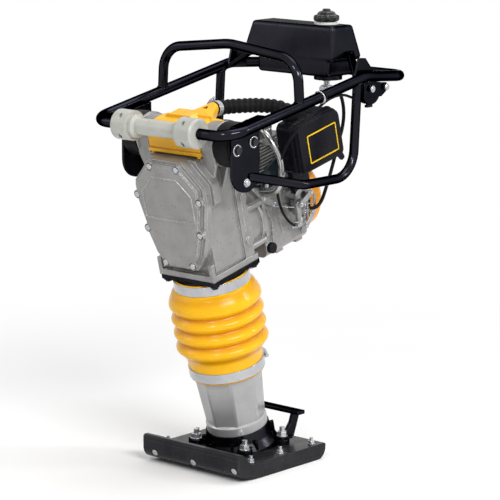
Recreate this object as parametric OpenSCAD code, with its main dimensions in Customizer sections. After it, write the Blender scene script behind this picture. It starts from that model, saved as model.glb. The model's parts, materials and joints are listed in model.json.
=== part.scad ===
// Tamping rammer: an engine-driven jumping foot for compacting soil.
// The origin is the middle of the shoe's sole on the ground, +Z up, the operator stands at +Y,
// and the front roller is at -Y. Leg, crankcase and engine lean forward and are drawn
// upright in their own leaning frame; shoe, handle frame and tank are drawn level.

/* [Stance] */
// Lean of the leg from upright, degrees
lean = 13.5; // [12:0.5:15]
// How far behind the shoe's middle the leg's axis meets the ground
leg_back = 28; // [24:1:32]

/* [Shoe] */
// Width of the shoe
shoe_w = 285; // [265:5:330]
// Length of the shoe
shoe_l = 298; // [290:2:330]
// Height of the shoe's flat top above the ground
shoe_t = 35; // [31:1:38]
// Height of the curled toe
toe_h = 64; // [54:1:76]
// Length of the curled toe
toe_run = 52; // [46:1:56]
// Thickness of the steel sole plate
sole_t = 6; // [4:0.5:8]
// Radius under the heel
heel_r = 26; // [20:1:30]
// Radius of the toe's front corner
toe_r = 26; // [22:1:30]
// Length over which the sole curves up to the toe
rise_run = 84; // [70:1:90]
// Radius of the sole's upward curve
rise_r = 210; // [190:5:240]
// Diameter of the big foot studs
stud_d = 12; // [10:1:14]
// Diameter of the small sole studs
small_stud_d = 8; // [6:1:10]
// Height of the carrying bar above the shoe's flat top
carry_h = 71; // [66:1:84]
// Half of the carrying handle's width
carry_half = 85; // [82:1:100]

/* [Leg] */
// Diameter of the leg's base ring
ring_d = 138; // [132:1:146]
// Width across the leg's flats at the bottom
flats_low = 125; // [119:1:131]
// Width across the leg's flats at the top
flats_high = 144; // [138:1:148]
// Height of the base ring's underside along the leg
ring_at = 84; // [80:1:88]
// Height of the base ring
ring_h = 22; // [16:1:26]
// Height of the leg's top along the leg
leg_top = 248; // [244:1:252]
// Outer diameter of the spring cylinder
cyl_d = 110; // [104:1:114]
// Wall of the spring cylinder
cyl_wall = 4.5; // [3.5:0.5:6]
// Height of the spring cylinder's top along the leg
cyl_top = 412; // [408:1:413]
// Diameter of the piston rod
rod_d = 28; // [24:1:32]
// Wire diameter of the ram springs
wire_d = 11; // [8:0.5:12]
// Mean diameter of the ram springs
spring_d = 76; // [70:1:80]
// Curls in each ram spring
spring_turns = 5; // [4:1:6]
// Height of the piston along the leg
piston_at = 238; // [230:1:246]
// Thickness of the piston
piston_t = 24; // [18:1:30]
// Running gap between sliding round pieces
run_gap = 0.08; // [0.05:0.01:0.1]

/* [Bellows] */
// Largest diameter of the bellows
bellows_d = 208; // [200:1:214]
// Diameter in the bellows' valleys
valley_d = 186; // [182:1:190]
// Wall of the bellows
bellows_wall = 3.2; // [2.5:0.1:4]
// Spacing of the bulges along the leg
bulge_step = 34; // [30:0.5:36]
// Height of the lowest bulge along the leg
bulge_at = 294; // [290:1:298]
// Diameter of the cuffs' seats
cuff_d = 160; // [158:1:164]
// Width of the clamp bands
band_w = 22; // [18:1:23]
// Thickness of the clamp bands
band_t = 2; // [1.5:0.1:2.5]

/* [Crankcase] */
// Half width of the crankcase's base flange
base_half = 81; // [78:1:84]
// Height of the base flange's underside along the leg
base_at = 471; // [469:1:473]
// Half width of the crankcase's side walls
case_half = 76; // [75:0.5:77]
// Wall of the crankcase
case_wall = 6; // [4:0.5:6.5]
// Thickness of the cover, rim included
cover_t = 20; // [17:1:24]
// Diameter of the cover bolts
cover_bolt_d = 8; // [6:1:9]
// Height of the crank's centre along the leg
crank_at = 619.2; // [617:0.2:621]
// Throw of the crank
crank_r = 26; // [22:1:28]
// Distance between the connecting rod's eyes
conrod_l = 106; // [104:1:108]
// Diameter of the crank pin
pin_d = 26; // [22:1:28]
// Diameter of the gudgeon pin
gudgeon_d = 16; // [14:1:18]
// Teeth on the crank gear
gear_teeth = 60; // [60:1:60]
// Teeth on the pinion
pinion_teeth = 12; // [12:1:12]
// Module of the gear teeth
gear_module = 2.2; // [2.1:0.05:2.25]
// Diameter of the crank gear's shaft
crank_shaft_d = 35; // [30:1:38]
// Diameter of the pinion's shaft
pinion_shaft_d = 20; // [16:1:20]

/* [Engine] */
// Diameter of the clutch drum
drum_d = 92; // [86:1:96]
// Diameter of the flywheel
flywheel_d = 150; // [140:1:154]
// Diameter of the recoil starter cover
recoil_d = 176; // [170:1:180]
// Half width of the engine block
block_half = 62; // [58:1:66]
// Length of the air cleaner box from front to back
air_l = 148; // [140:1:152]
// Height of the air cleaner box
air_h = 114; // [108:1:118]
// Outer side of the air cleaner box, from the middle plane
air_x = 150; // [144:1:154]
// Outer diameter of the intake hose's ribs
hose_d = 33; // [31:0.5:34]
// Bore of the intake hose
hose_bore = 24; // [22:0.5:25]

/* [Handle] */
// Diameter of the handle loop's tube
tube_d = 24; // [23:0.5:26]
// Diameter of the lifting hoop's tube
hoop_tube_d = 22; // [20:0.5:23]
// Diameter of the side tubes
side_tube_d = 21; // [20:0.5:22]
// Wall of the handle tubes
tube_wall = 2.5; // [2:0.1:3]
// Half of the distance between the rails
rail_half = 202.4; // [200:0.2:205]
// Height of the hoop's corners above the rubber mounts
hoop_h = 174; // [168:1:180]
// Rise of the hoop's middle above its corners
hoop_rise = 22; // [16:1:26]
// Diameter of the rubber mounts
mount_d = 100; // [96:1:102]
// Half of the distance between the side plates' inner faces
plate_half = 157; // [156:0.5:159]
// Thickness of the side plates
plate_t = 6; // [5:0.5:7]
// Diameter of the roller's drum ends
drum_end_d = 66; // [60:1:70]
// Half of the roller's length
roller_half = 118; // [112:1:122]
// Diameter of the roller's middle
roller_mid_d = 36; // [34:0.5:40]
// Running gap round the bar in the roller
roller_gap = 0.08; // [0.06:0.01:0.1]

/* [Tank] */
// Half width of the tank's lower part
tank_half = 116; // [112:1:118]
// Height of the tank's underside above the rubber mounts
tank_low = 110; // [108:1:113]
// Height of the tank's lower part
skirt_h = 46; // [42:1:50]
// Height of the whole tank
tank_h = 114; // [110:1:118]
// Diameter of the fuel cap
cap_d = 50; // [46:1:54]
// Diameter of the filler collar
collar_d = 56; // [53:1:60]

/* [Fits] */
// Gap left between curved faces that seat on each other
seat_gap = 0.3; // [0.25:0.05:0.4]
// Gap round a bolt in its hole
bolt_gap = 0.3; // [0.2:0.05:0.5]

/* [Hidden] */
$fn = 64;

cast = "#b9b5ab";
black = "#17181c";
zinc = "#c9ccd0";
yellow = "#f2b705";

// Where the rubber mounts' axis crosses the middle plane, in the leaning frame
mount_v = 5.4;
mount_w = 767.7;
handle_y = leg_back + mount_v * cos(lean) - mount_w * sin(lean);
handle_z = mount_v * sin(lean) + mount_w * cos(lean);

shaft_at = crank_at - gear_module * (gear_teeth + pinion_teeth) / 2;
cap_t = 14;
bush_t = 5;
guide_wall = 6;
bush_r = cyl_d / 2 + run_gap;
guide_in = bush_r + bush_t;
guide_out = guide_in + guide_wall;
guide_low = leg_top + 30;
neck_t = 10;
cuff_t = 3.4;
band_r = cuff_d / 2 + cuff_t + seat_gap;
low_band_at = leg_top - 25;
top_band_at = base_at - 38;
swell_rise = 13;
cover_back = -72;
cover_front = cover_back - cover_t;
rim_front = -58;
wall_back = 58;
gear_front = 40;
gear_back = 56;
bearing_t = 17;
drum_at = 88;
drum_l = 30;
engine_front = 122;

// Frames: leaning with the leg, or level at the rubber mounts

module leaning() {
    translate([0, leg_back, 0]) rotate([lean, 0, 0]) children();
}

module at_mounts() {
    translate([0, handle_y, handle_z]) children();
}

module mirrored() {
    children();
    mirror([1, 0, 0]) children();
}

// Outlines

function unit(v) = v / norm(v);

// The corners of an outline replaced by arcs of n chords
function corner_arc(a, b, c, r, n) =
    let (u = unit(a - b), v = unit(c - b))
    let (half = acos(u * v) / 2, run = r / tan(half))
    let (centre = b + unit(u + v) * r / sin(half), s = b + u * run - centre)
    let (turn = (u.x * v.y - u.y * v.x > 0 ? -1 : 1) * (180 - 2 * half))
    [for (k = [0:n]) let (g = turn * k / n)
        centre + [s.x * cos(g) - s.y * sin(g), s.x * sin(g) + s.y * cos(g)]];

function rounded(p, r, n = 4) =
    [for (i = [0:len(p) - 1])
        each corner_arc(p[(i + len(p) - 1) % len(p)], p[i], p[(i + 1) % len(p)], r, n)];

// An outline moved inwards by d, for points listed anticlockwise
function inset(p, d) =
    [for (i = [0:len(p) - 1])
        let (a = p[(i + len(p) - 1) % len(p)], b = p[i], c = p[(i + 1) % len(p)])
        let (u = unit(b - a), v = unit(c - b), m = [-u.y, u.x], n = [-v.y, v.x])
        b + (m + n) * d / (1 + m * n)];

function box_points(x0, x1, y0, y1) = [[x0, y0], [x1, y0], [x1, y1], [x0, y1]];

// A half outline from bottom to top on +X, closed by its mirror image
function two_sided(p) = concat(p, [for (i = [len(p) - 1:-1:0]) [-p[i].x, p[i].y]]);

// Slabs and rods along the axes

module slab_y(a, b) {
    translate([0, b, 0]) rotate([90, 0, 0]) linear_extrude(b - a) children();
}

module slab_x(a, b) {
    translate([a, 0, 0]) rotate([90, 0, 90]) linear_extrude(b - a) children();
}

module slab_z(a, b) {
    translate([0, 0, a]) linear_extrude(b - a) children();
}

module rod_x(r, a, b, y, z) {
    translate([a, y, z]) rotate([0, 90, 0]) cylinder(r = r, h = b - a);
}

module rod_y(r, a, b, x, z) {
    translate([x, a, z]) rotate([-90, 0, 0]) cylinder(r = r, h = b - a);
}

module rod_z(r, a, b, x = 0, y = 0) {
    translate([x, y, a]) cylinder(r = r, h = b - a);
}

module block(x0, x1, y0, y1, z0, z1) {
    translate([x0, y0, z0]) cube([x1 - x0, y1 - y0, z1 - z0]);
}

module ring_z(r_out, r_in, a, b) {
    difference() {
        rod_z(r_out, a, b);
        rod_z(r_in, a - 1, b + 1);
    }
}

module ring_y(r_out, r_in, a, b, x, z) {
    difference() {
        rod_y(r_out, a, b, x, z);
        rod_y(r_in, a - 1, b + 1, x, z);
    }
}

// A hexagon-headed bolt hanging down from z = 0, its head above
module hex_bolt(d, shank) {
    translate([0, 0, -shank]) cylinder(r = d / 2, h = shank);
    cylinder(r = d * 1.05, h = d * 0.12);
    translate([0, 0, d * 0.12]) cylinder(r = d * 0.92, h = d * 0.62, $fn = 6);
}

// A stud standing on z = 0 with a washer and a nut
module stud_and_nut(d, height) {
    cylinder(r = d / 2, h = height);
    cylinder(r = d * 1.05, h = d * 0.18);
    translate([0, 0, d * 0.18]) cylinder(r = d * 0.95, h = d * 0.8, $fn = 6);
}

// Bent tube along a list of points, with a bend radius for each inner point

function frame_angles(x, y, z) = [atan2(y.z, z.z), -asin(x.z), atan2(x.y, x.x)];

function bend_run(a, b, c, r) = r / tan(acos(unit(a - b) * unit(c - b)) / 2);

module straight(a, b, r) {
    d = b - a;
    translate(a)
        rotate([0, acos(d.z / norm(d)), atan2(d.y, d.x)])
            cylinder(r = r, h = norm(d));
}

module bend(a, b, c, bend_r, r) {
    u = unit(a - b);
    v = unit(c - b);
    half = acos(u * v) / 2;
    centre = b + unit(u + v) * bend_r / sin(half);
    x = unit(b + u * bend_r / tan(half) - centre);
    z = unit(cross(v, u));
    translate(centre)
        rotate(frame_angles(x, cross(z, x), z))
            rotate_extrude(angle = 180 - 2 * half)
                translate([bend_r, 0]) circle(r = r);
}

// The bends are swollen by a hair, and the straights run a little way into them
module bent_rod(p, bends, r, swell, lap) {
    n = len(p);
    for (i = [1:n - 2]) bend(p[i - 1], p[i], p[i + 1], bends[i - 1], r + swell);
    for (i = [0:n - 2]) {
        d = unit(p[i + 1] - p[i]);
        from = i == 0 ? 0 : bend_run(p[i - 1], p[i], p[i + 1], bends[i - 1]) - lap;
        to = i == n - 2 ? 0 : bend_run(p[i], p[i + 1], p[i + 2], bends[i]) - lap;
        straight(p[i] + d * from, p[i + 1] - d * to, r);
    }
}

module bent_tube(p, bends, r) {
    difference() {
        bent_rod(p, bends, r, 0.04, 0.5);
        bent_rod(p, bends, r - tube_wall, -0.06, 1);
    }
}

// Swept tubes as one mesh: rings of points on a smooth route

function curve_at(a, b, c, d, t) =
    (2 * b + (c - a) * t + (2 * a - 5 * b + 4 * c - d) * t * t
        + (3 * b - a - 3 * c + d) * t * t * t) / 2;

function smooth(p, n) =
    [for (i = [0:len(p) - 2], k = [0:n - 1])
        curve_at(p[max(i - 1, 0)], p[i], p[i + 1], p[min(i + 2, len(p) - 1)], k / n),
        p[len(p) - 1]];

function heading(p, i) = unit(p[min(i + 1, len(p) - 1)] - p[max(i - 1, 0)]);

// The side direction carried along the route without twist
function carried(p, i, s) =
    i >= len(p) ? [] :
    let (t = heading(p, i), n = unit(s - t * (s * t)))
    concat([n], carried(p, i + 1, n));

function ring(c, t, s, r, sides) =
    let (q = cross(t, s))
    [for (k = [0:sides - 1]) c + r * (s * cos(360 * k / sides) + q * sin(360 * k / sides))];

function side_faces(rings, sides) =
    [for (i = [0:rings - 2], k = [0:sides - 1])
        let (a = i * sides + k, b = i * sides + (k + 1) % sides)
        each [[a, a + sides, b], [b, a + sides, b + sides]]];

module swept(p, radii, sides, side = [1, 0, 0]) {
    s = carried(p, 0, side);
    n = len(p);
    points = [for (i = [0:n - 1]) each ring(p[i], heading(p, i), s[i], radii[i], sides)];
    last = (n - 1) * sides;
    polyhedron(points, concat(
        side_faces(n, sides),
        [for (k = [1:sides - 2]) [0, k, k + 1]],
        [for (k = [1:sides - 2]) [last, last + k + 1, last + k]]));
}

module cord(p, d, steps = 3) {
    q = smooth(p, steps);
    swept(q, [for (i = q) d / 2], 8);
}

// Shoe

toe_y = -shoe_l / 2;
heel_y = shoe_l / 2;

function arc(cy, cz, r, a, b, n) =
    [for (k = [0:n]) let (g = a + (b - a) * k / n) [cy + r * cos(g), cz + r * sin(g)]];

// Where the sole's long curve meets the toe's tight corner
rise_turn = asin((rise_run - toe_r) / (rise_r - toe_r));
corner_z = toe_r + (rise_r - toe_r) * (1 - cos(rise_turn));

function under_path(d) = concat(
    [[toe_y + d, toe_h - 12]],
    arc(toe_y + toe_r, corner_z, toe_r - d, 180, 270 - rise_turn, 8),
    arc(toe_y + rise_run, rise_r, rise_r - d, 270 - rise_turn, 270, 6),
    arc(heel_y - heel_r, heel_r, heel_r - d, 270, 360, 6));

module sole_plate() {
    color("#2b2b30")
        slab_x(-shoe_w / 2, shoe_w / 2)
            polygon(concat(under_path(0), [for (i = [len(under_path(0)) - 1:-1:0]) under_path(sole_t)[i]]));
}

module shoe_block() {
    lip = 17;
    color("#2a2625")
        slab_x(-shoe_w / 2, shoe_w / 2)
                polygon(concat(
                    under_path(sole_t),
                    [[heel_y, heel_r], [heel_y, shoe_t - 3], [heel_y - 3, shoe_t]],
                    [[toe_y + toe_run, shoe_t], [toe_y + toe_run - 9, shoe_t + 3]],
                    [[toe_y + lip + 5, toe_h - 5], [toe_y + lip, toe_h - 1], [toe_y + lip - 3, toe_h]],
                    [[toe_y + 4, toe_h], [toe_y, toe_h - 4], [toe_y, toe_h - 12]]));
}

foot_mid = leg_back - (shoe_t / cos(lean)) * sin(lean);
stud_x = 74;
stud_front = foot_mid - 68;
stud_back = foot_mid + 58;
flange_t = 11;

function stud_places() = [for (x = [-stud_x, stud_x], y = [stud_front, stud_back]) [x, y]];

function small_places() =
    [for (x = [-1, 1], y = [-0.29, 0.04, 0.4]) [x * (shoe_w / 2 - 17), y * shoe_l]];

// Cast foot: a bolted base with lugs and a leaning socket that carries the leg
module foot_flange() {
    half = stud_x - 4;
    color(black)
        difference() {
            union() {
                slab_z(shoe_t, shoe_t + flange_t)
                    polygon(rounded(box_points(-half, half, stud_front + 6, stud_back - 6), 14));
                for (p = stud_places()) rod_z(17, shoe_t, shoe_t + flange_t, p.x, p.y);
                intersection() {
                    leaning() {
                        rotate_extrude() polygon([[0, 0], [86, 0], [85, 44], [ring_d / 2 + 6, 62],
                            [ring_d / 2 + 2.5, ring_at], [0, ring_at]]);
                        for (a = [20:40:340]) rotate([0, 0, a]) block(60, 84, -3, 3, 44, ring_at - 16);
                    }
                    block(-100, 100, -120, 120, shoe_t, 120);
                }
            }
            for (p = stud_places()) rod_z(stud_d / 2 + bolt_gap, shoe_t - 1, shoe_t + 40, p.x, p.y);
            for (p = stud_places()) rod_z(stud_d * 1.05 + 1, shoe_t + flange_t, shoe_t + 60, p.x, p.y);
        }
}

carry_t = 9;
carry_w = 24;
carry_y = stud_back + 28;

// Flat-bar handle behind the leg, its feet under the rear studs' nuts
module carry_handle() {
    top = shoe_t + carry_h;
    foot_top = shoe_t + flange_t + 6.3;
    color(black)
        difference() {
            union() {
                slab_x(-carry_half - 8, carry_half + 8)
                    polygon(rounded(box_points(carry_y + 4, carry_y + 4 + carry_w, top - carry_t, top), 2));
                mirrored() {
                    slab_x(carry_half - 16, carry_half - 16 + carry_t)
                        polygon([[carry_y - 14, foot_top - 6], [carry_y + 8, foot_top - 6],
                            [carry_y + 4 + carry_w, top - carry_t], [carry_y + 6, top - carry_t]]);
                    slab_x(carry_half - 16, carry_half - 16 + carry_t)
                        polygon([[stud_back - 2, foot_top - 6], [carry_y - 8, foot_top - 6],
                            [carry_y - 2, foot_top + 26]]);
                    slab_z(foot_top - 6, foot_top)
                        polygon(rounded(box_points(stud_x - 15, stud_x + 14, stud_back - 15, carry_y - 4),
                            6));
                }
            }
            for (p = stud_places()) rod_z(stud_d / 2 + bolt_gap, shoe_t - 1, shoe_t + 60, p.x, p.y);
            mirrored() translate([stud_x, stud_back, foot_top]) cylinder(r = stud_d * 1.05 + 0.6, h = 40);
            leaning() rod_z(90, 0, 58);
        }
}

module foot_studs() {
    color(zinc) {
        for (p = stud_places())
            translate([p.x, p.y, shoe_t + flange_t + (p.y > 0 ? 6.3 : 0)]) {
                translate([0, 0, p.y > 0 ? -flange_t - 6.3 : -flange_t]) cylinder(r = stud_d / 2, h = 20);
                stud_and_nut(stud_d, 22);
            }
        for (p = small_places()) translate([p.x, p.y, shoe_t]) stud_and_nut(small_stud_d, 15);
    }
}

// Leg and what slides in it

leg_low = ring_at + ring_h;

module leg() {
    taper = atan((flats_high - flats_low) / 2 / (low_band_at - leg_low));
    spread = 1.065;
    color("#c6c6c4")
        leaning()
            difference() {
                union() {
                    rod_z(ring_d / 2, ring_at, leg_low - 4);
                    translate([0, 0, leg_low - 4]) cylinder(r1 = ring_d / 2, r2 = ring_d / 2 - 4, h = 4);
                    difference() {
                        translate([0, 0, leg_low - 1])
                            cylinder(r1 = flats_low / 2 * spread, r2 = flats_high / 2 * spread,
                                h = low_band_at - leg_low + 2);
                        for (a = [0:45:315])
                            rotate([0, 0, a + 22.5])
                                translate([flats_low / 2, 0, leg_low])
                                    rotate([0, taper, 0])
                                        translate([0, -60, -20]) cube([40, 120, 190]);
                    }
                    mirrored()
                        translate([flats_low / 2 - 3, 0, leg_low])
                            rotate([0, taper, 0]) translate([0, -5, -3])
                                cube([6.5, 10, low_band_at - leg_low]);
                    rod_z(cuff_d / 2, low_band_at - 2, leg_top);
                }
                rod_z(cyl_d / 2 + seat_gap, leg_low - 4, leg_top + 1);
            }
}

module spring_cylinder() {
    color("#8d9094")
        leaning() ring_z(cyl_d / 2, cyl_d / 2 - cyl_wall, leg_low - 4, cyl_top);
}

module cylinder_cap() {
    color("#77797d")
        leaning()
            difference() {
                union() {
                    rod_z(cyl_d / 2 - 1, cyl_top, cyl_top + cap_t - 4);
                    rod_z(rod_d / 2 + 12, cyl_top, cyl_top + cap_t);
                }
                rod_z(rod_d / 2 + run_gap, cyl_top - 1, cyl_top + cap_t + 1);
            }
}

// Coil of round wire between two heights, as one unbroken tube of eight rings a curl
function coil(low, high, turns, r) =
    [for (k = [0:turns * 8]) [r * cos(45 * k), r * sin(45 * k), low + (high - low) * k / (turns * 8)]];

function coil_gap(p) = min([for (i = [0:8], k = [8:1:11]) norm(p[i] - p[min(i + k, len(p) - 1)])]) - wire_d;

module ram_spring(low, high) {
    p = coil(low + wire_d / 2 + 0.6, high - wire_d / 2 - 0.6, spring_turns, spring_d / 2);
    echo(str("least gap between curls ", coil_gap(p)));
    color("#3d4a5c") leaning() swept(p, [for (i = p) wire_d / 2], 6, [0, 0, 1]);
}

module lower_spring() {
    ram_spring(leg_low - 4, piston_at);
}

module upper_spring() {
    ram_spring(piston_at + piston_t, cyl_top);
}

crank_low = crank_at - crank_r;
gudgeon_at = crank_low - conrod_l;
fork_base = gudgeon_at - 26;
fork_in = 12.4;

// Rod with a fork round the connecting rod's small eye; each cheek holds a stub of the gudgeon pin
module piston_rod() {
    cheek_t = 10;
    color("#a9adb2")
        leaning()
            difference() {
                union() {
                    rod_z(rod_d / 2, piston_at + piston_t, fork_base);
                    rod_z(25, fork_base - 5, fork_base);
                    for (y = [-fork_in - cheek_t, fork_in])
                        slab_y(y, y + cheek_t)
                            polygon(concat([[18, fork_base]], arc(0, gudgeon_at, 18, 0, 180, 12),
                                [[-18, fork_base]]));
                    for (y = [-fork_in - cheek_t - 3, fork_in - 0.01])
                        rod_y(gudgeon_d / 2, y, y + cheek_t + 3, 0, gudgeon_at);
                }
                block(-30, 30, -fork_in, fork_in, fork_base, gudgeon_at + 30);
            }
}

module piston() {
    color("#9a9ea3")
        leaning()
            difference() {
                union() {
                    rod_z(cyl_d / 2 - cyl_wall - 0.2, piston_at, piston_at + piston_t);
                    rod_z(rod_d / 2 - 4, piston_at + piston_t - 1, piston_at + piston_t);
                }
                for (z = [6, 14])
                    translate([0, 0, piston_at + z])
                        difference() {
                            cylinder(r = cyl_d / 2, h = 3);
                            translate([0, 0, -1]) cylinder(r = cyl_d / 2 - cyl_wall - 3, h = 5);
                        }
            }
}

// Bellows: four bulges between two cuffs, a turned profile of smooth waves
function wave(k) = (1 - cos(k * 360)) / 2;

function bellows_side(d) =
    let (first = bulge_at - bulge_step / 2, steps = 8, cuff = cuff_d / 2 + seat_gap + d)
    let (valley = valley_d / 2 - bellows_wall + d, swell = (bellows_d - valley_d) / 2)
    concat(
        [[cuff, low_band_at - 4], [cuff, low_band_at + band_w + 7], [valley - 6, first - 7]],
        [for (k = [0:4 * steps - 2])
            [valley + swell * pow(wave(k / steps), 0.75),
                first + k * bulge_step / steps + max(0, k / steps - 3.5) * 2 * swell_rise]],
        [[cuff + 4, top_band_at - 4], [cuff, top_band_at - 2], [cuff, top_band_at + band_w + 1.7]]);

module bellows() {
    inner = bellows_side(0);
    outer = bellows_side(bellows_wall);
    color(yellow)
        leaning()
            rotate_extrude()
                polygon(concat(outer, [for (i = [len(inner) - 1:-1:0]) inner[i]]));
}

// Band clamp with its worm housing and screw, turned round the leg
module band_clamp(at, turn) {
    color(zinc)
        leaning()
            rotate([0, 0, turn]) {
                ring_z(band_r + band_t, band_r, at, at + band_w);
                block(band_r + band_t - 0.3, band_r + band_t + 9, -12, 12, at + 3, at + band_w - 3);
                rod_y(4, -22, 26, band_r + band_t + 4.5, at + band_w / 2);
                rod_y(6, 26, 30, band_r + band_t + 4.5, at + band_w / 2);
            }
}

module lower_clamp() {
    band_clamp(low_band_at, 62);
}

module upper_clamp() {
    band_clamp(top_band_at, 70);
}

base_front = -75;
base_back = 79;
flange_bolt_x = base_half - 12;

function flange_places() =
    [for (x = [-flange_bolt_x, flange_bolt_x], y = [base_front + 12, base_back - 12]) [x, y]];

// Black neck casting under the crankcase: a square flange and the bellows' upper seat
module neck_flange() {
    color(black)
        leaning()
            difference() {
                union() {
                    slab_z(base_at - neck_t, base_at)
                        polygon(rounded(box_points(-base_half - 1, base_half + 1, base_front - 1,
                            base_back + 1), 10));
                    rod_z(cuff_d / 2, top_band_at - 2, base_at - neck_t);
                    for (p = flange_places()) rod_z(10.5, base_at - neck_t - 4, base_at - neck_t, p.x, p.y);
                }
                rod_z(guide_out + seat_gap, top_band_at - 3, base_at + 1);
                for (p = flange_places()) rod_z(5 + bolt_gap, base_at - 30, base_at + 1, p.x, p.y);
            }
}

module flange_bolts() {
    color("#2c2d31")
        leaning()
            for (p = flange_places())
                translate([p.x, p.y, base_at - neck_t - 4]) {
                    cylinder(r = 5, h = neck_t + 14);
                    translate([0, 0, -5]) cylinder(r = 7.5, h = 5, $fn = 6);
                }
}

module guide_tube() {
    color("#85888c")
        leaning() {
            ring_z(guide_out, guide_in, guide_low, base_at);
        }
}

module guide_bush() {
    color("#b08d4f")
        leaning() ring_z(guide_in, bush_r, guide_low, guide_low + 60);
}

// Crankcase

rim = two_sided([[46, 498], [68, 530], [86, 582], [86, 602], [99, 656], [99, 694], [47, 748]]);

function rim_bolts() = [for (s = [-1, 1], p = [[39, 734], [91, 664], [77, 587], [40, 511]]) [s * p.x, p.y]];

shaft_boss = 27;
gear_r = gear_module * gear_teeth / 2;
room_r = gear_r + gear_module + 3;

ear_x = 112;

shoulder = two_sided([[80, 640], [99, 656], [99, 694], [47, 748]]);

function ear_web(low) =
    [[case_half - 8, low], [case_half, low], [ear_x, mount_w - 30], [ear_x, mount_w],
        [case_half - 8, mount_w]];

function case_outline(half) =
    two_sided([[half, base_at + 12], [half, 700], [half - 4, 742], [half - 22, 756]]);

// Hollow casting: base flange, side walls, cover rim, gear room, bell for the clutch,
// and an ear on each side for the rubber mount
module crankcase() {
    ear_r = mount_d / 2 - 3;
    color(cast)
        leaning()
            difference() {
                union() {
                    slab_z(base_at, base_at + 13)
                        polygon(rounded(box_points(-base_half, base_half, base_front, base_back), 9));
                    slab_y(cover_back, rim_front) polygon(rounded(rim, 8, 3));
                    slab_y(rim_front, 36) polygon(rounded(case_outline(case_half), 6, 3));
                    slab_y(36, wall_back + 6) polygon(rounded(case_outline(base_half), 5, 3));
                    slab_y(rim_front - 0.01, -38) polygon(rounded(inset(shoulder, -9), 8, 3));
                    mirrored() {
                        rod_x(ear_r, case_half - 12, ear_x - 5, mount_v, mount_w);
                        rod_x(ear_r + 3, ear_x - 5, ear_x, mount_v, mount_w);
                        slab_y(mount_v - ear_r + 0.5, mount_v - ear_r + 8) polygon(ear_web(640));
                        slab_y(mount_v - 3, mount_v + 4) polygon(ear_web(660));
                        slab_y(mount_v + ear_r - 8, mount_v + ear_r - 0.5) polygon(ear_web(672));
                        for (z = [521, 623]) rod_x(10, base_half - 12, base_half + 5, wall_back - 5.5, z);
                        slab_x(base_half - 8, base_half + 1)
                            polygon(box_points(wall_back - 10, wall_back - 1, 521, 623));
                        block(case_half - 5, base_half, base_front, base_front + 9, base_at, 512);
                    }
                    rod_y(room_r + 6, wall_back, wall_back + 8, 0, crank_at);
                    rod_y(crank_shaft_d / 2 + 27, wall_back, wall_back + 24, 0, crank_at);
                    translate([0, wall_back + 6, shaft_at])
                        rotate([-90, 0, 0])
                            cylinder(r1 = 76, r2 = 68, h = engine_front - wall_back - 6);
                    rod_y(74, engine_front - 10, engine_front, 0, shaft_at);
                    for (a = [35, 145, 215, 325])
                        rod_y(9, wall_back + 6, engine_front, 76 * cos(a), shaft_at + 76 * sin(a));
                }
                difference() {
                    slab_y(rim_front + 7, 30) polygon(rounded(case_outline(case_half - case_wall), 6, 3));
                    block(-100, 100, -60, top_front + 15, 740, 800);
                }
                block(-90, 90, -90, base_back + 1.5, base_at - 40, base_at);
                block(-top_half - seat_gap, top_half + seat_gap, -60, top_back + 1, top_seat - seat_gap, 900);
                block(-top_half - 3.5, top_half + 3.5, -60, top_front + 8.5, 746.5, 900);
                slab_y(cover_back - 1, rim_front + 8) polygon(rounded(inset(rim, 16), 6, 3));
                rod_y(room_r, 20, wall_back, 0, crank_at);
                rod_z(guide_out + seat_gap, base_at - 1, base_at + 14);
                rod_y(crank_shaft_d / 2 + 19 + seat_gap, wall_back - 1, wall_back + 19, 0, crank_at);
                rod_y(crank_shaft_d / 2 + 6, wall_back, wall_back + 25, 0, crank_at);
                rod_y(shaft_boss - 8 + seat_gap, wall_back - 1, wall_back + 19, 0, shaft_at);
                rod_y(shaft_boss - 12, wall_back, wall_back + 30, 0, shaft_at);
                rod_y(drum_d / 2 + 4, drum_at - 4, engine_front + 1, 0, shaft_at);
                rod_y(gear_module * 7 + 3, 20, wall_back, 0, shaft_at);
                for (p = rim_bolts())
                    rod_y(cover_bolt_d / 2 + bolt_gap, cover_back - 1, cover_back + 16, p.x, p.y);
                for (p = flange_places()) rod_z(5 + bolt_gap, base_at - 1, base_at + 20, p.x, p.y);
                mirrored() for (y = [-27, 27])
                    rod_x(5 + bolt_gap, ear_x - 22, ear_x + 4, mount_v + y, mount_w);
            }
}

// Front cover: rim, step, eight bolt bosses and a bare raised panel
module crankcase_cover() {
    panel = two_sided([[74, 613], [74, 676], [36, 712]]);
    color(cast)
        leaning()
            difference() {
                union() {
                    slab_y(cover_back - 8, cover_back) polygon(rounded(rim, 8, 3));
                    slab_y(cover_front + 3, cover_back - 8) polygon(rounded(inset(rim, 8), 7, 3));
                    slab_y(cover_front, cover_front + 3) polygon(rounded(inset(rim, 11), 6, 3));
                    for (p = rim_bolts()) rod_y(9.5, cover_front + 2, cover_back - 6, p.x, p.y);
                    slab_y(cover_front - 1.8, cover_front)
                        difference() {
                            polygon(rounded(panel, 4, 3));
                            polygon(rounded(inset(panel, 3.5), 3, 3));
                        }
                }
                slab_y(cover_front + 8, cover_back + 1) polygon(rounded(inset(rim, 20), 6, 3));
                slab_y(cover_front - 3, cover_front + 0.6) polygon(rounded(inset(panel, 3.5), 3, 3));
                for (p = rim_bolts())
                    rod_y(cover_bolt_d / 2 + bolt_gap, cover_front - 9, cover_back + 1, p.x, p.y);
                for (p = rim_bolts())
                    rod_y(cover_bolt_d * 1.05 + 0.6, cover_front - 9, cover_front + 7, p.x, p.y);
            }
}

module cover_bolts() {
    color(zinc)
        leaning()
            for (p = rim_bolts())
                translate([p.x, cover_front + 7, p.y]) rotate([90, 0, 0]) hex_bolt(cover_bolt_d, cover_t + 4);
}

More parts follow.
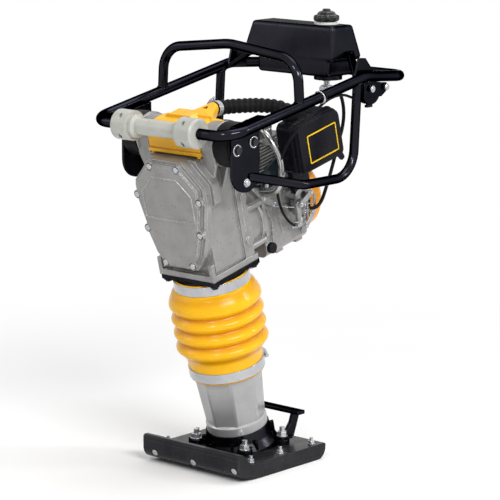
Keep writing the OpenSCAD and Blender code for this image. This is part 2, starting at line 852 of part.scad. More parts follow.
// Gear outline: straight-sided teeth with backlash
function tooth(r, m, a) =
    let (flank = 0.24, tip = 0.3 * m, root = 1.04 * m)
    [for (q = [[r - 1.2 * m, root], [r, m * (PI / 4 - flank / 2)], [r + m * 0.88, tip]])
        let (g = q[1] / q[0] * 180 / PI)
        [q[0], g]];

function gear_points(n, m, phase) =
    [for (i = [0:n - 1])
        let (t = tooth(n * m / 2, m, 0), a = phase + 360 * i / n)
        each [for (q = [[0, -1], [1, -1], [2, -1], [2, 1], [1, 1], [0, 1]])
            let (r = t[q[0]][0], g = a + q[1] * t[q[0]][1])
            [r * cos(g), r * sin(g)]]];

module gear_slab(n, m, phase) {
    polygon(gear_points(n, m, phase));
}

// Crank gear with its pin, web holes and shaft; the pin is at the bottom at rest
module crank_gear() {
    color("#8f949a")
        leaning() {
            difference() {
                union() {
                    translate([0, 0, crank_at])
                        slab_y(gear_front, gear_back) gear_slab(gear_teeth, gear_module, -90);
                    rod_y(30, gear_front - 8, gear_front, 0, crank_at);
                    rod_y(pin_d / 2 + 9, gear_front - 20, gear_front, 0, crank_low);
                    rod_y(pin_d / 2, -14, gear_front, 0, crank_low);
                    rod_y(crank_shaft_d / 2, gear_back, wall_back + 22, 0, crank_at);
                }
                for (a = [20, 160, 60, 120])
                    rod_y(11, gear_front - 1, gear_back + 1, 45 * cos(a), crank_at + 45 * sin(a));
            }
            rod_y(pin_d / 2 + 5, -17, -14, 0, crank_low);
        }
}

// Ball bearings for the crank gear and the pinion, in the crankcase's back wall
module gear_bearings() {
    front = wall_back + 0.5;
    color("#b9bdc2")
        leaning() {
            ring_y(crank_shaft_d / 2 + 19, crank_shaft_d / 2 + run_gap, front, front + bearing_t, 0,
                crank_at);
            ring_y(shaft_boss - 8, pinion_shaft_d / 2 + run_gap, front, front + bearing_t, 0, shaft_at);
        }
}

// Connecting rod from the crank pin down to the fork
module connecting_rod() {
    t = 10;
    big = pin_d / 2 + 8;
    small = gudgeon_d / 2 + 8;
    color("#7c8086")
        leaning()
            difference() {
                union() {
                    rod_y(big, -t, t, 0, crank_low);
                    rod_y(small, -t, t, 0, gudgeon_at);
                    slab_y(-t * 0.6, t * 0.6)
                        polygon([[-small * 0.8, gudgeon_at], [small * 0.8, gudgeon_at],
                            [big * 0.7, crank_low], [-big * 0.7, crank_low]]);
                }
                rod_y(pin_d / 2 + run_gap, -t - 1, t + 1, 0, crank_low);
                rod_y(gudgeon_d / 2 + 0.3, -t - 1, t + 1, 0, gudgeon_at);
                slab_y(-t, -t * 0.3)
                    polygon([[-5, gudgeon_at + small + 4], [5, gudgeon_at + small + 4],
                        [7, crank_low - big - 4], [-7, crank_low - big - 4]]);
            }
}

// Pinion, its shaft and the clutch drum that drives it
module pinion() {
    color("#83888e")
        leaning() {
            translate([0, 0, shaft_at])
                slab_y(gear_front, gear_back) gear_slab(pinion_teeth, gear_module, 90 + 180 / pinion_teeth);
            rod_y(pinion_shaft_d / 2, gear_back, drum_at, 0, shaft_at);
            rod_y(gear_module * 4.8, gear_front - 6, gear_front, 0, shaft_at);
            difference() {
                rod_y(drum_d / 2, drum_at, drum_at + drum_l, 0, shaft_at);
                rod_y(drum_d / 2 - 4, drum_at + 4, drum_at + drum_l + 1, 0, shaft_at);
            }
        }
}

flywheel_at = 268;

// Engine shaft with clutch hub and shoes in front, flywheel and fan blades behind
module engine_shaft() {
    color("#6f747a")
        leaning() {
            rod_y(11, drum_at + 6, flywheel_at, 0, shaft_at);
            rod_y(16, drum_at + 8, drum_at + 26, 0, shaft_at);
            for (s = [0, 180])
                translate([0, 0, shaft_at])
                    slab_y(drum_at + 9, drum_at + 25)
                        polygon(concat(arc(0, 0, drum_d / 2 - 6, s - 68, s + 68, 12),
                            arc(0, 0, 16, s + 50, s - 50, 6)));
            difference() {
                rod_y(flywheel_d / 2, flywheel_at, flywheel_at + 18, 0, shaft_at);
                rod_y(flywheel_d / 2 - 12, flywheel_at + 10, flywheel_at + 19, 0, shaft_at);
            }
            for (a = [0:30:330])
                translate([0, 0, shaft_at])
                    rotate([0, a, 0])
                        block(38, flywheel_d / 2 - 13, -1.5 + flywheel_at + 4, flywheel_at + 24, -1.5, 1.5);
            rod_y(24, flywheel_at + 10, flywheel_at + 26, 0, shaft_at);
        }
}

// Engine

block_back = 262;
block_low = 450;
fin_t = 2.4;
fin_step = 7;
barrel_v = 196;
barrel_x = -2;
deck_at = 606;
head_at = 674;
plug_v = 133;
plug_w = 471;

// Engine crankcase with its finned barrel, ribs, mounting pads and the ring for the starter cover
module engine_block() {
    color(cast)
        leaning()
            difference() {
                union() {
                    slab_y(engine_front, block_back)
                        polygon(rounded(two_sided([[block_half - 8, block_low], [block_half, block_low + 10],
                            [block_half, 580], [block_half - 18, deck_at]]), 7, 3));
                    slab_y(engine_front, engine_front + 9)
                        polygon(rounded(two_sided([[block_half - 6, block_low - 2], [block_half - 2, 488],
                            [block_half + 9, 502],
                            [block_half + 9, 592], [30, 624]]), 10, 3));
                    rod_y(flywheel_d / 2 + 6, block_back - 12, block_back, 0, shaft_at);
                    rod_z(36, deck_at - 8, head_at, barrel_x, barrel_v);
                    for (z = [deck_at + 5:fin_step:head_at - fin_t - 1])
                        slab_z(z, z + fin_t)
                            polygon(rounded(box_points(barrel_x - 52, barrel_x + 52, barrel_v - 50,
                                barrel_v + 50), 12, 3));
                    for (x = [-1, 1], y = [164, block_back - 30])
                        block(x * 40 - 12, x * 40 + 12, y, y + 22, block_low - 7, block_low + 4);
                    rod_x(14, block_half - 2, block_half + 3, plug_v, plug_w);
                    for (y = [150, 178, 206, 234]) block(block_half - 2, block_half + 3, y, y + 4, 486, 546);
                    for (p = [[146, 560], [152, 500], [246, 470]])
                        rod_x(8, block_half - 2, block_half + 6, p.x, p.y);
                    slab_x(block_half - 2, block_half + 4)
                        polygon(rounded([[134, 574], [146, 586], [166, 520], [156, 476], [142, 476],
                            [150, 524]], 4, 3));
                }
                rod_y(12, engine_front - 1, block_back + 1, 0, shaft_at);
                rod_x(8 + bolt_gap, block_half - 8, block_half + 4, plug_v, plug_w);
            }
}

module oil_plug() {
    at = [block_half + 3, plug_v, plug_w];
    color(black)
        leaning() {
            rod_x(8, block_half - 7, at.x, at.y, at.z);
            rod_x(11.5, at.x, at.x + 9, at.y, at.z);
            for (a = [0:30:330]) translate(at) rotate([a, 0, 0]) block(0, 8, -1.5, 1.5, 0, 12.6);
        }
}

plug_at = [barrel_x - 46, barrel_v, head_at + 18];

// Head with fins, rocker cover and spark plug
module cylinder_head() {
    color(cast)
        leaning() {
            difference() {
                union() {
                    rod_z(40, head_at, head_at + 30, barrel_x, barrel_v);
                    for (z = [head_at:fin_step:head_at + 28])
                        slab_z(z, z + fin_t)
                            polygon(rounded(box_points(barrel_x - 54, barrel_x + 50, barrel_v - 54,
                                barrel_v + 50), 14, 3));
                }
                translate(plug_at) rotate([0, 55, 0]) cylinder(r = 13, h = 34, center = true);
            }
            translate(plug_at) rotate([0, -55, 0]) translate([0, 0, -22]) cylinder(r = 4.5, h = 42);
            translate(plug_at) rotate([0, -55, 0]) translate([0, 0, -6]) cylinder(r = 9, h = 8, $fn = 6);
            slab_z(head_at + 30, head_at + 46)
                polygon(rounded(box_points(barrel_x - 34, barrel_x + 44, barrel_v - 34, barrel_v + 34), 12,
                    4));
            slab_z(head_at + 46, head_at + 54)
                polygon(rounded(box_points(barrel_x - 29, barrel_x + 39, barrel_v - 29, barrel_v + 29), 10,
                    4));
            for (x = [-27, 37], y = [-27, 27])
                rod_z(6, head_at + 46, head_at + 57, barrel_x + x, barrel_v + y);
        }
}

// Route of the spark lead in the leaning frame, from the plug's boot to the coil
lead_route = [[-65, 196, 704], [-70, 196, 708], [-79, 196, 714], [-92, 202, 722], [-98, 224, 722],
    [-92, 252, 706], [-82, 272, 676], [-76, 280, 636]];

module spark_lead() {
    q = smooth(lead_route, 4);
    color(black) leaning() swept(q, [for (i = [0:len(q) - 1]) i < 8 ? 8.5 : i < 10 ? 6 : 3.2], 8, [0, 1, 0]);
}

carb_v = 226;
carb_w = 566;

// Carburettor: throat out of the engine's side, float bowl under it, and the air box's neck flange
module carburettor() {
    color("#a8a9a6")
        leaning()
            difference() {
                union() {
                    rod_x(15, block_half, 100, carb_v, carb_w);
                    slab_x(block_half, block_half + 6)
                        polygon(rounded(box_points(carb_v - 30, carb_v + 23, carb_w - 16, carb_w + 16), 10));
                    slab_x(96, 102)
                        polygon(rounded(box_points(carb_v - 26, carb_v + 26, carb_w - 17, carb_w + 17), 10));
                    rod_z(17, carb_w - 44, carb_w - 10, 82, carb_v);
                    rod_z(19, carb_w - 20, carb_w - 15, 82, carb_v);
                    rod_z(4, carb_w - 50, carb_w - 44, 82, carb_v);
                    rod_z(8, carb_w + 10, carb_w + 25, 82, carb_v - 2);
                    rod_x(hose_spigot, 92, 110, carb_v + 4, carb_w - 32);
                    for (y = [-19, 19]) rod_x(4.4, 102, 106, carb_v + y, carb_w);
                }
                rod_x(9, block_half + 8, 103, carb_v, carb_w);
            }
}

arm_v = 226;
arm_w = 492;
arm_pin = [205, 500];

// Throttle arm on its shaft below the carburettor, pulled by the cable at its front end
module throttle_arm() {
    color(zinc)
        leaning() {
            rod_x(4, block_half + seat_gap, block_half + 20, arm_v, arm_w);
            slab_x(block_half + 14, block_half + 17)
                polygon(rounded([[arm_pin.x - 7, arm_pin.y - 7], [arm_v + 7, arm_w - 7],
                    [arm_v + 7, arm_w + 6],
                    [arm_pin.x - 7, arm_pin.y + 7]], 4));
            rod_x(4, block_half + 12, block_half + 32, arm_pin.x, arm_pin.y);
        }
}

// Silencer on the far side, with its slotted guard and tail pipe
module muffler() {
    color("#5b5b5d")
        leaning() {
            slab_x(-128, -82) polygon(rounded(box_points(150, 246, 584, 676), 18, 5));
            slab_x(-82, barrel_x - 52 - seat_gap)
                polygon(rounded(box_points(barrel_v - 17, barrel_v + 17, 618, 650), 8));
            rod_y(9, 246, 262, -106, 602);
            for (y = [160:12:238]) block(-131, -128, y, y + 5, 594, 666);
        }
}

recoil_front = block_back + 0.3;
grip_at = [-60, 57, 26];

// Recoil starter cover: a turned shroud with air slots, a stepped nose and a rope hole
module recoil_cover() {
    r = recoil_d / 2;
    color("#ee8f12")
        leaning()
            difference() {
                translate([0, recoil_front, shaft_at])
                    rotate([-90, 0, 0])
                        rotate_extrude($fn = 96)
                            polygon([[r - 3.5, 0], [r, 0], [r, 34], [r - 6, 44], [r - 24, 52], [52, 56],
                                [50, 74],
                                [42, 82], [0, 82], [0, 78.5], [40, 78.5], [46.5, 72], [48, 52.5],
                                    [r - 26, 48.5],
                                [r - 9, 41.5], [r - 3.5, 33]]);
                for (a = [0:20:340])
                    if (a < 280 || a > 330)
                        translate([0, recoil_front + 40, shaft_at])
                            rotate([0, a, 0]) block(58, r - 14, 0, 20, -2.5, 2.5);
                rod_y(4, recoil_front + 40, recoil_front + 60, grip_at.x, shaft_at + grip_at.z);
            }
}

module starter_grip() {
    color(black)
        leaning()
            translate([grip_at.x, recoil_front + grip_at.y, shaft_at + grip_at.z]) {
                rotate([-90, 0, 0]) cylinder(r = 6, h = 12);
                translate([0, 19, 0]) rotate([0, 90, 0]) slab_z(-34, 10)
                    polygon(rounded(box_points(-8, 8, -8, 8), 6));
            }
}

// Intake side

top_front = -43;
top_back = 58;
top_seat = 756;
top_half = 74.5;
outlet = [30, -100, 811];
outlet_r = 14.5;
spigot_r = hose_bore / 2 - 1.6;

function top_side() =
    concat([[top_front, 750], [top_front + 7, 750], [top_front + 7, top_seat], [top_back, top_seat]],
        [[top_back, 786]],
        [for (k = [0:6]) [top_back - 60 * pow(k / 6, 1.3), 790 + 29 * sin(15 * k)]],
        arc(top_front + 34, 785, 34, 90, 180, 8));

// Amber cover on top of the crankcase: front lip, curved top, hump, and a duct to the hose's outlet
module top_cover() {
    color("#f0a818")
        difference() {
            union() {
                leaning() {
                    intersection() {
                        slab_x(-top_half, top_half) polygon(top_side());
                        slab_y(top_front - 1, top_back + 1)
                            polygon(rounded(two_sided([[top_half, 740], [top_half, 806],
                                [top_half - 22, 838]]), 12, 5));
                    }
                    block(-top_half, top_half + 3, top_front - 4, top_front + 6, 752, 760);
                    slab_y(-6, 30)
                        polygon(rounded([[-66, 790], [44, 790], [44, 812], [24, 826], [-38, 826],
                            [-66, 812]], 6, 4));
                    mirrored() rod_z(5, 747, top_seat, top_half - 8, top_front + 3);
                }
                hull() {
                    rod_y(outlet_r, outlet.y - 2, outlet.y, outlet.x, outlet.z, $fn = 32);
                    block(0, 70, -152, -150, 772, 803);
                    block(8, 40, -140, -138, 790, 811);
                }
                rod_y(spigot_r, outlet.y - 4, outlet.y + 12, outlet.x, outlet.z);
            }
            rod_y(spigot_r - 3, outlet.y - 30, outlet.y + 13, outlet.x, outlet.z);
        }
}

air_front = 184;
air_low = 631;
air_mid = 128;
air_back = 90;

function air_outline() =
    [[air_front, air_low], [air_front + air_l, air_low], [air_front + air_l, air_low + air_h - 16],
        [air_front + air_l - 16, air_low + air_h], [air_front + 10, air_low + air_h],
            [air_front, air_low + air_h - 10]];

spout = [108, air_front + 34];
spout_h = 3;

// Air cleaner base: a tray with the hose spout on top and a neck to the carburettor
module air_box_base() {
    color(black)
        leaning() {
            difference() {
                union() {
                    slab_x(air_back, air_mid) polygon(rounded(air_outline(), 12, 4));
                    rod_z(19, air_low + air_h - 6, air_low + air_h + spout_h, spout.x, spout.y);
                    rod_z(spigot_r - 1.6, air_low + air_h, air_low + air_h + spout_h + 9, spout.x, spout.y);
                    slab_x(air_back, air_back + 14)
                        polygon(rounded(box_points(carb_v - 26, carb_v + 26, carb_w - 17, air_low + 8), 10));
                    rod_y(4, air_front - 9, air_front + 2, 110, air_low + 40);
                }
                slab_x(air_back + 5, air_mid + 1) polygon(rounded(inset(air_outline(), 5), 8, 4));
                rod_z(spigot_r - 4, air_low + air_h - 8, air_low + air_h + spout_h + 10, spout.x, spout.y);
                slab_x(air_back - 1, 106.4)
                    polygon(rounded(box_points(carb_v - 27, carb_v + 27, carb_w - 18, carb_w + 18), 10));
            }
        }
}

// Air cleaner cover: a rim, a stepped face and the screw knob under it
module air_box_cover() {
    color(black)
        leaning()
            difference() {
                union() {
                    slab_x(air_mid + 0.2, air_mid + 6) polygon(rounded(inset(air_outline(), -3), 14, 4));
                    slab_x(air_mid + 6, air_x - 5) polygon(rounded(air_outline(), 12, 4));
                    slab_x(air_x - 5, air_x) polygon(rounded(inset(air_outline(), 4), 11, 4));
                    slab_x(air_mid + 0.2, air_mid + 5)
                        polygon(rounded([[air_front + 134, air_low + 6], [air_front + 152, air_low - 20],
                            [air_front + 164, air_low - 16], [air_front + 152, air_low + 12]], 4));
                }
                slab_x(air_mid, air_x - 4) polygon(rounded(inset(air_outline(), 5), 8, 4));
            }
}

module air_filter() {
    color("#4a4d48")
        leaning()
            difference() {
                slab_x(air_back + 5.3, air_mid + 12)
                    polygon(rounded(box_points(air_front + 16, air_front + air_l - 22, air_low + 12,
                        air_low + air_h - 24), 8, 4));
                slab_x(air_back + 4, air_mid)
                    polygon(rounded(box_points(air_front + 34, air_front + air_l - 40, air_low + 28,
                        air_low + air_h - 40), 8, 4));
            }
}

// Route of the intake hose, chosen by hand: from the amber cover's outlet round to the air box's spout
hose_route = [[30, -99, 811], [30, -88, 811], [34, -64, 812], [44, -32, 812], [62, 6, 811], [84, 38, 807],
    [100, 55, 800], [107.6, 62.6, 790], [108, 65.1, 779.3]];

// Ribbed hose with its bore: rings swell and sink along the route, and the mesh turns back inside
module intake_hose() {
    q = smooth(hose_route, 8);
    n = len(q);
    sides = 12;
    out = hose_d / 2;
    in = hose_bore / 2;
    s = carried(q, 0, [1, 0, 0]);
    outer = [for (i = [0:n - 1]) each ring(q[i], heading(q, i), s[i],
        i < 12 || i > n - 8 ? out - 1.5 : i % 2 == 0 ? out : out - 2.6, sides)];
    back = [for (i = [n - 1:-3:0]) i];
    inner = [for (i = back) each ring(q[i], heading(q, i), s[i], in, sides)];
    rings = n + len(back);
    color(black)
        polyhedron(concat(outer, inner), concat(
            side_faces(rings, sides),
            [for (k = [0:sides - 1])
                let (a = (rings - 1) * sides + k, b = (rings - 1) * sides + (k + 1) % sides)
                each [[a, k, b], [b, k, (k + 1) % sides]]]));
}

module hose_clamp() {
    y = outlet.y + 9;
    r = hose_d / 2 - 0.9;
    color(zinc)
        translate([outlet.x, 0, outlet.z])
            rotate([0, -50, 0]) {
                ring_y(r + 1.4, r, y - 6, y + 6, 0, 0);
                block(-8, 8, y - 6, y + 6, r + 1, r + 8);
                rod_x(3.4, -12, 14, y, r + 4.5);
            }
}

// Handle frame, level at the rubber mounts

bar_y = -94;
bar_z = 32;
kink = [357, 119.4];
rear = [501, 108.3];
tube_r = tube_d / 2;

loop_path = [[0, bar_y, bar_z], [rail_half, bar_y, bar_z], [rail_half, kink.x, kink.y],
    [rail_half, rear.x, rear.y],
    [-rail_half, rear.x, rear.y], [-rail_half, kink.x, kink.y], [-rail_half, bar_y, bar_z],
        [0, bar_y, bar_z]];
loop_bends = [50, 110, 45, 45, 110, 50];

module handle_loop() {
    color(black)
        at_mounts()
            difference() {
                bent_tube(loop_path, loop_bends, tube_r);
                rod_z(3, rear.y - 20, rear.y, 0, rear.x);
            }
}

// Room for the rails in pieces that are welded to them
module rails_with_gap() {
    mirrored() {
        straight([rail_half, bar_y, bar_z], [rail_half, kink.x, kink.y], tube_r + seat_gap);
        straight([rail_half, kink.x, kink.y], [rail_half, rear.x, rear.y], tube_r + seat_gap);
    }
}

function rail_z(y) = bar_z + (kink.y - bar_z) * (y - bar_y) / (kink.x - bar_y);

hoop_y = 130;
hoop_path = [[rail_half, hoop_y, rail_z(hoop_y)], [rail_half - 6, hoop_y, hoop_h],
    [0, hoop_y, hoop_h + hoop_rise],
    [6 - rail_half, hoop_y, hoop_h], [-rail_half, hoop_y, rail_z(hoop_y)]];

module lifting_hoop() {
    color(black)
        at_mounts()
            difference() {
                bent_tube(hoop_path, [58, 160, 58], hoop_tube_d / 2);
                rails_with_gap();
            }
}

side_path = [[rail_half, 325, rail_z(325)], [rail_half, 311, -97], [rail_half, 146, -97],
    [plate_half, 14, -67]];

module side_tubes() {
    color(black)
        at_mounts()
            mirrored()
                difference() {
                    bent_tube(side_path, [62, 60], side_tube_d / 2);
                    rails_with_gap();
                    block(100, plate_half + plate_t, -80, 80, -120, 0);
                }
}

plate_y0 = -42;
plate_y1 = 46;
plate_low = -100;

// Side plates between the rubber mounts and the rails
module side_plates() {
    mid = (plate_y0 + plate_y1) / 2;
    half = (plate_y1 - plate_y0) / 2;
    color(black)
        at_mounts()
            mirrored()
                difference() {
                    union() {
                        slab_x(plate_half, plate_half + plate_t)
                            polygon(concat(arc(mid, plate_low + half, half, 180, 360, 16),
                                [[plate_y1, rail_z(plate_y1)], [plate_y0, rail_z(plate_y0)]]));
                        slab_x(plate_half, rail_half)
                            polygon([[plate_y0, rail_z(plate_y0) - 3], [plate_y1, rail_z(plate_y1) - 3],
                                [plate_y1, rail_z(plate_y1) + 3], [plate_y0, rail_z(plate_y0) + 3]]);
                    }
                    rails_with_gap();
                    rotate([lean, 0, 0]) for (y = [-27, 27])
                        rod_x(5 + bolt_gap, plate_half - 1, plate_half + 20, y, 0);
                }
}

module rubber_mounts() {
    color("#101012")
        leaning()
            mirrored()
                difference() {
                    union() {
                        rod_x(mount_d / 2, ear_x + 3, plate_half - 3, mount_v, mount_w);
                        rod_x(mount_d / 2 - 3, ear_x, ear_x + 3, mount_v, mount_w);
                        rod_x(mount_d / 2 - 3, plate_half - 3, plate_half, mount_v, mount_w);
                    }
                    for (y = [-27, 27]) rod_x(5 + bolt_gap, ear_x - 1, plate_half + 10, mount_v + y, mount_w);
                }
}

module mount_bolts() {
    color(zinc)
        leaning()
            mirrored()
                for (y = [-27, 27])
                    translate([plate_half + plate_t, mount_v + y, mount_w]) rotate([0, 90, 0])
                        hex_bolt(10, plate_t + 50);
}

// Roller on the front bar: two half shells held by screws

function roller_half_profile() =
    let (r = drum_end_d / 2, m = roller_mid_d / 2, e = roller_half)
    [[m, 0], [m, e - 60], [r - 7, e - 56], [r - 7, e - 46], [r, e - 46], [r, e - 4], [r - 4, e]];

module roller_solid() {
    in = tube_r + roller_gap;
    rotate([0, 90, 0])
        rotate_extrude($fn = 96)
            polygon(concat(roller_half_profile(), [[in, roller_half], [in, 0]]));
}

function roller_screw_places() = [for (s = [-1, 1], x = [roller_half - 26], z = [-22, 22]) [s * x, z]];

module roller_shells() {
    color("#c3c4bc")
        at_mounts()
            translate([0, bar_y, bar_z])
                difference() {
                    mirrored() roller_solid();
                    block(-200, 200, -0.15, 0.15, -60, 60);
                    for (p = roller_screw_places()) rod_y(2.5 + bolt_gap, -50, 50, p.x, p.y);
                    for (p = roller_screw_places()) rod_y(5, -50, -15, p.x, p.y);
                }
}

module roller_screws() {
    color(zinc)
        at_mounts()
            translate([0, bar_y, bar_z])
                for (p = roller_screw_places()) {
                    rod_y(2.5, -15, 14, p.x, p.y);
                    rod_y(4.3, -18, -15, p.x, p.y);
                }
}

// Tank and fuel

tank_front = 334;
tank_top = tank_low + tank_h;
skirt_top = tank_low + skirt_h;
tank_edge = 9;

// Rounded block between two rectangles given as [x0, x1, y0, y1, z]
module soft_block(a, b) {
    r = tank_edge;
    hull() {
        for (x = [a[0] + r, a[1] - r], y = [a[2] + r, a[3] - r]) translate([x, y, a[4] + r])
            sphere(r = r, $fn = 24);
        for (x = [b[0] + r, b[1] - r], y = [b[2] + r, b[3] - r]) translate([x, y, b[4] - r])
            sphere(r = r, $fn = 24);
    }
}

// Fuel tank: a lower part and a wider, tapering upper part
module fuel_tank() {
    color(black)
        at_mounts() {
            soft_block([-tank_half + 16, tank_half - 4, tank_front, tank_front + 90, tank_low],
                [-tank_half + 16, tank_half - 4, tank_front, tank_front + 92, skirt_top + 20]);
            soft_block([-tank_half - 28, tank_half + 5, tank_front - 1, tank_front + 106, skirt_top - 12],
                [-tank_half - 6, tank_half + 4, tank_front + 3, tank_front + 80, tank_top]);
            rod_z(32, tank_low - 10, tank_low + 2, valve_x + 4, valve_y);
        }
}

cap_x = 65;
cap_y = 382;

module filler_collar() {
    color("#e9e9e4")
        at_mounts()
            translate([cap_x, cap_y, tank_top]) {
                cylinder(r = collar_d / 2, h = 3);
                translate([0, 0, 3]) cylinder(r = collar_d / 2 - 6, h = 3);
            }
}

// Fuel cap: grip ribs, a domed step and a small knob
module fuel_cap() {
    r = cap_d / 2;
    color(black)
        at_mounts()
            translate([cap_x, cap_y, tank_top + 6.3]) {
                cylinder(r = r - 1.5, h = 16);
                for (a = [0:30:330]) rotate([0, 0, a]) translate([r - 2.5, 0, 0]) cylinder(r = 3, h = 15);
                translate([0, 0, 16]) cylinder(r1 = r - 2, r2 = r - 9, h = 5);
                translate([0, 0, 21]) cylinder(r = 9, h = 6);
            }
}

bracket_y0 = 345;
bracket_y1 = 394;

// A gusset on one rail, and a strap from its foot up to the tank's side at reach
module tank_bracket(reach) {
    slab_x(rail_half - tube_r - 5.3, rail_half - tube_r - seat_gap)
        polygon([[bracket_y0 - 15, kink.y - 10], [bracket_y1, kink.y - 10],
            [bracket_y1, kink.y + 10], [bracket_y1 - 26, 158], [bracket_y0, 160]]);
    hull() {
        block(reach, reach + 4, 385, 405, skirt_top - 2, skirt_top + 10);
        block(rail_half - 17, rail_half - 13, 331, 352, 112, 118);
    }
    rod_x(6, reach + 3, reach + 9, 394, skirt_top + 3);
}

module tank_brackets() {
    color(black)
        at_mounts() {
            tank_bracket(tank_half + 5.5);
            mirror([1, 0, 0]) tank_bracket(tank_half + 28.5);
        }
}

valve_x = 64;
valve_y = 385;
valve_z = tank_low - 34;

// Fuel valve under the tank, with a spigot for the hose
module fuel_valve() {
    color(zinc)
        at_mounts() {
            rod_z(7, valve_z + 8, tank_low - 10.3, valve_x, valve_y);
            rod_z(11, tank_low - 14, tank_low - 10.3, valve_x, valve_y);
            block(valve_x - 10, valve_x + 10, valve_y - 8, valve_y + 8, valve_z - 4, valve_z + 10);
            rod_x(hose_spigot, valve_x + 8, valve_x + 28, valve_y, valve_z);
            rod_y(6, valve_y - 12, valve_y - 7, valve_x, valve_z + 3);
        }
}

hose_spigot = 2.8;

module valve_lever() {
    color(zinc)
        at_mounts() {
            rod_y(7, valve_y - 18, valve_y - 12.3, valve_x, valve_z + 3);
            block(valve_x - 4, valve_x + 4, valve_y - 17, valve_y - 14, valve_z - 17, valve_z);
        }
}

// Routes of the cords at the rubber mounts' level frame, chosen by hand
fuel_route = [[93.4, 385, 76], [98, 387, 73], [101, 392, 62], [102, 398, 42], [102, 400, 18], [101, 396, -10],
    [99, 386, -40], [99, 374, -70], [102, 356, -104], [108, 334, -134], [118, 306, -160], [121, 284, -172],
    [111.8, 273, -175]];

module fuel_hose() {
    color(black) at_mounts() cord(fuel_route, 8, 3);
}

plate_x = rail_half + 3;
grip_y = 372;
grip_z = 72;

// Throttle bracket under the right rail: a bolted plate with a half-round housing
module throttle_bracket() {
    cheek = concat(arc(grip_y, 86, 30, 180, 360, 14), [[grip_y + 30, 103.2], [grip_y - 30, 103.2]]);
    color(black)
        at_mounts() {
            slab_x(plate_x - 0.3, plate_x + 5)
                polygon(rounded([[340, 103], [357, 106], [419, 101.4], [419, 84], [400, 72], [340, 72]], 3));
            slab_x(plate_x - 18, plate_x - 14) polygon(cheek);
            slab_x(plate_x - 4.3, plate_x) polygon(cheek);
            block(plate_x - 17, plate_x - 1, grip_y - 29, grip_y + 29, 94, 103.2);
            for (p = [[362, 92], [412, 92]])
                translate([plate_x + 5, p.x, p.y]) rotate([0, 90, 0]) cylinder(r = 6.5, h = 6, $fn = 6);
        }
}

// Throttle lever: a hub between the housing's cheeks and a finger tab just under them
module throttle_lever() {
    low = grip_z - 17;
    color(black)
        at_mounts() {
            rod_x(12, plate_x - 13.7, plate_x - 4.6, grip_y, grip_z);
            block(plate_x - 12, plate_x - 6, grip_y - 6, grip_y + 6, low - 1, grip_z);
            block(plate_x - 13.2, plate_x - 5, grip_y - 9, grip_y + 9, low - 6, low);
        }
}

cable_route = [[191, 341, 74], [189, 326, 74], [187, 300, 82], [187, 272, 83], [184, 240, 74], [174, 208, 50],
    [156, 180, 16], [134, 164, -24], [114, 164, -72], [97, 178, -122], [91, 200, -170], [89, 226, -200],
    [88, 248, -214]];

module throttle_cable() {
    color(black) at_mounts() cord(cable_route, 6, 4);
}

sole_plate();
shoe_block();
foot_flange();
carry_handle();
foot_studs();
leg();
spring_cylinder();
cylinder_cap();
lower_spring();
upper_spring();
piston_rod();
piston();
bellows();
lower_clamp();
upper_clamp();
neck_flange();
flange_bolts();
guide_tube();
guide_bush();
crankcase();
crankcase_cover();
cover_bolts();
crank_gear();
gear_bearings();
connecting_rod();
pinion();
engine_shaft();
engine_block();
cylinder_head();
spark_lead();
carburettor();
throttle_arm();
muffler();
recoil_cover();
starter_grip();
oil_plug();
top_cover();
intake_hose();
hose_clamp();
air_box_base();
air_box_cover();
air_filter();
rubber_mounts();
side_plates();
mount_bolts();
handle_loop();
lifting_hoop();
side_tubes();
roller_shells();
roller_screws();
fuel_tank();
filler_collar();
tank_brackets();
fuel_cap();
fuel_valve();
valve_lever();
fuel_hose();
throttle_bracket();
throttle_lever();
throttle_cable();
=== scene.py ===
import json
import math

import bmesh
import bpy
import numpy as np
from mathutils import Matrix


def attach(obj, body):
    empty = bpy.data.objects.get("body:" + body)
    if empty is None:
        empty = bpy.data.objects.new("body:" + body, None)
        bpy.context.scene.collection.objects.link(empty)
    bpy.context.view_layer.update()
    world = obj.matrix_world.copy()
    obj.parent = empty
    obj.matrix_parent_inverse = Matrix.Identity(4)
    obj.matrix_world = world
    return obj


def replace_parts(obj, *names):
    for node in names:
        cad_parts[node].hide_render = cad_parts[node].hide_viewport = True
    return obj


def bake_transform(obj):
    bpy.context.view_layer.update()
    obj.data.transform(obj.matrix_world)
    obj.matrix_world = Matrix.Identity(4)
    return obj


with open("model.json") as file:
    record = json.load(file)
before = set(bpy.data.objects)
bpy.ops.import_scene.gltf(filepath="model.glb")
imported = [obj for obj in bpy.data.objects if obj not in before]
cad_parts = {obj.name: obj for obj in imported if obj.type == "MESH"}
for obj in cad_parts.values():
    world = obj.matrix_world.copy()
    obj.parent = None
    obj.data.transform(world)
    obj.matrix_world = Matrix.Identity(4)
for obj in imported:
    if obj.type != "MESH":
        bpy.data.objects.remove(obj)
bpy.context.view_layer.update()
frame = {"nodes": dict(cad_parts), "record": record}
print("frame loaded:", len(frame["nodes"]), "solids")

bpy.context.scene.view_settings.view_transform = "Standard"

leanAngle = math.radians(13.5)               # the leg and the engine lean back by this much
footY = 0.028                                # where the leg's axis meets the ground
mountSpot = np.array([0, -0.146, 0.7477])    # midway between the two rubber mounts


# millimetres in the leg's leaning frame (across, back, up the leg) to metres on the ground
def leaning(points):
    p = np.asarray(points, float) / 1000
    c, s = math.cos(leanAngle), math.sin(leanAngle)
    return np.stack([p[..., 0], footY + p[..., 1] * c - p[..., 2] * s, p[..., 1] * s + p[..., 2] * c], -1)


# millimetres measured from the rubber mounts, level, to metres on the ground
def fromMounts(points):
    return np.asarray(points, float) / 1000 + mountSpot


def metres(points):
    return np.asarray(points, float) / 1000


# camera, worked out from the ellipses of the roller, the leg's ring and the cap
camera = {"spot": (3.69339, -4.09102, 1.54751), "turn": (79.057, 0, 41.718), "lens": 181.752}


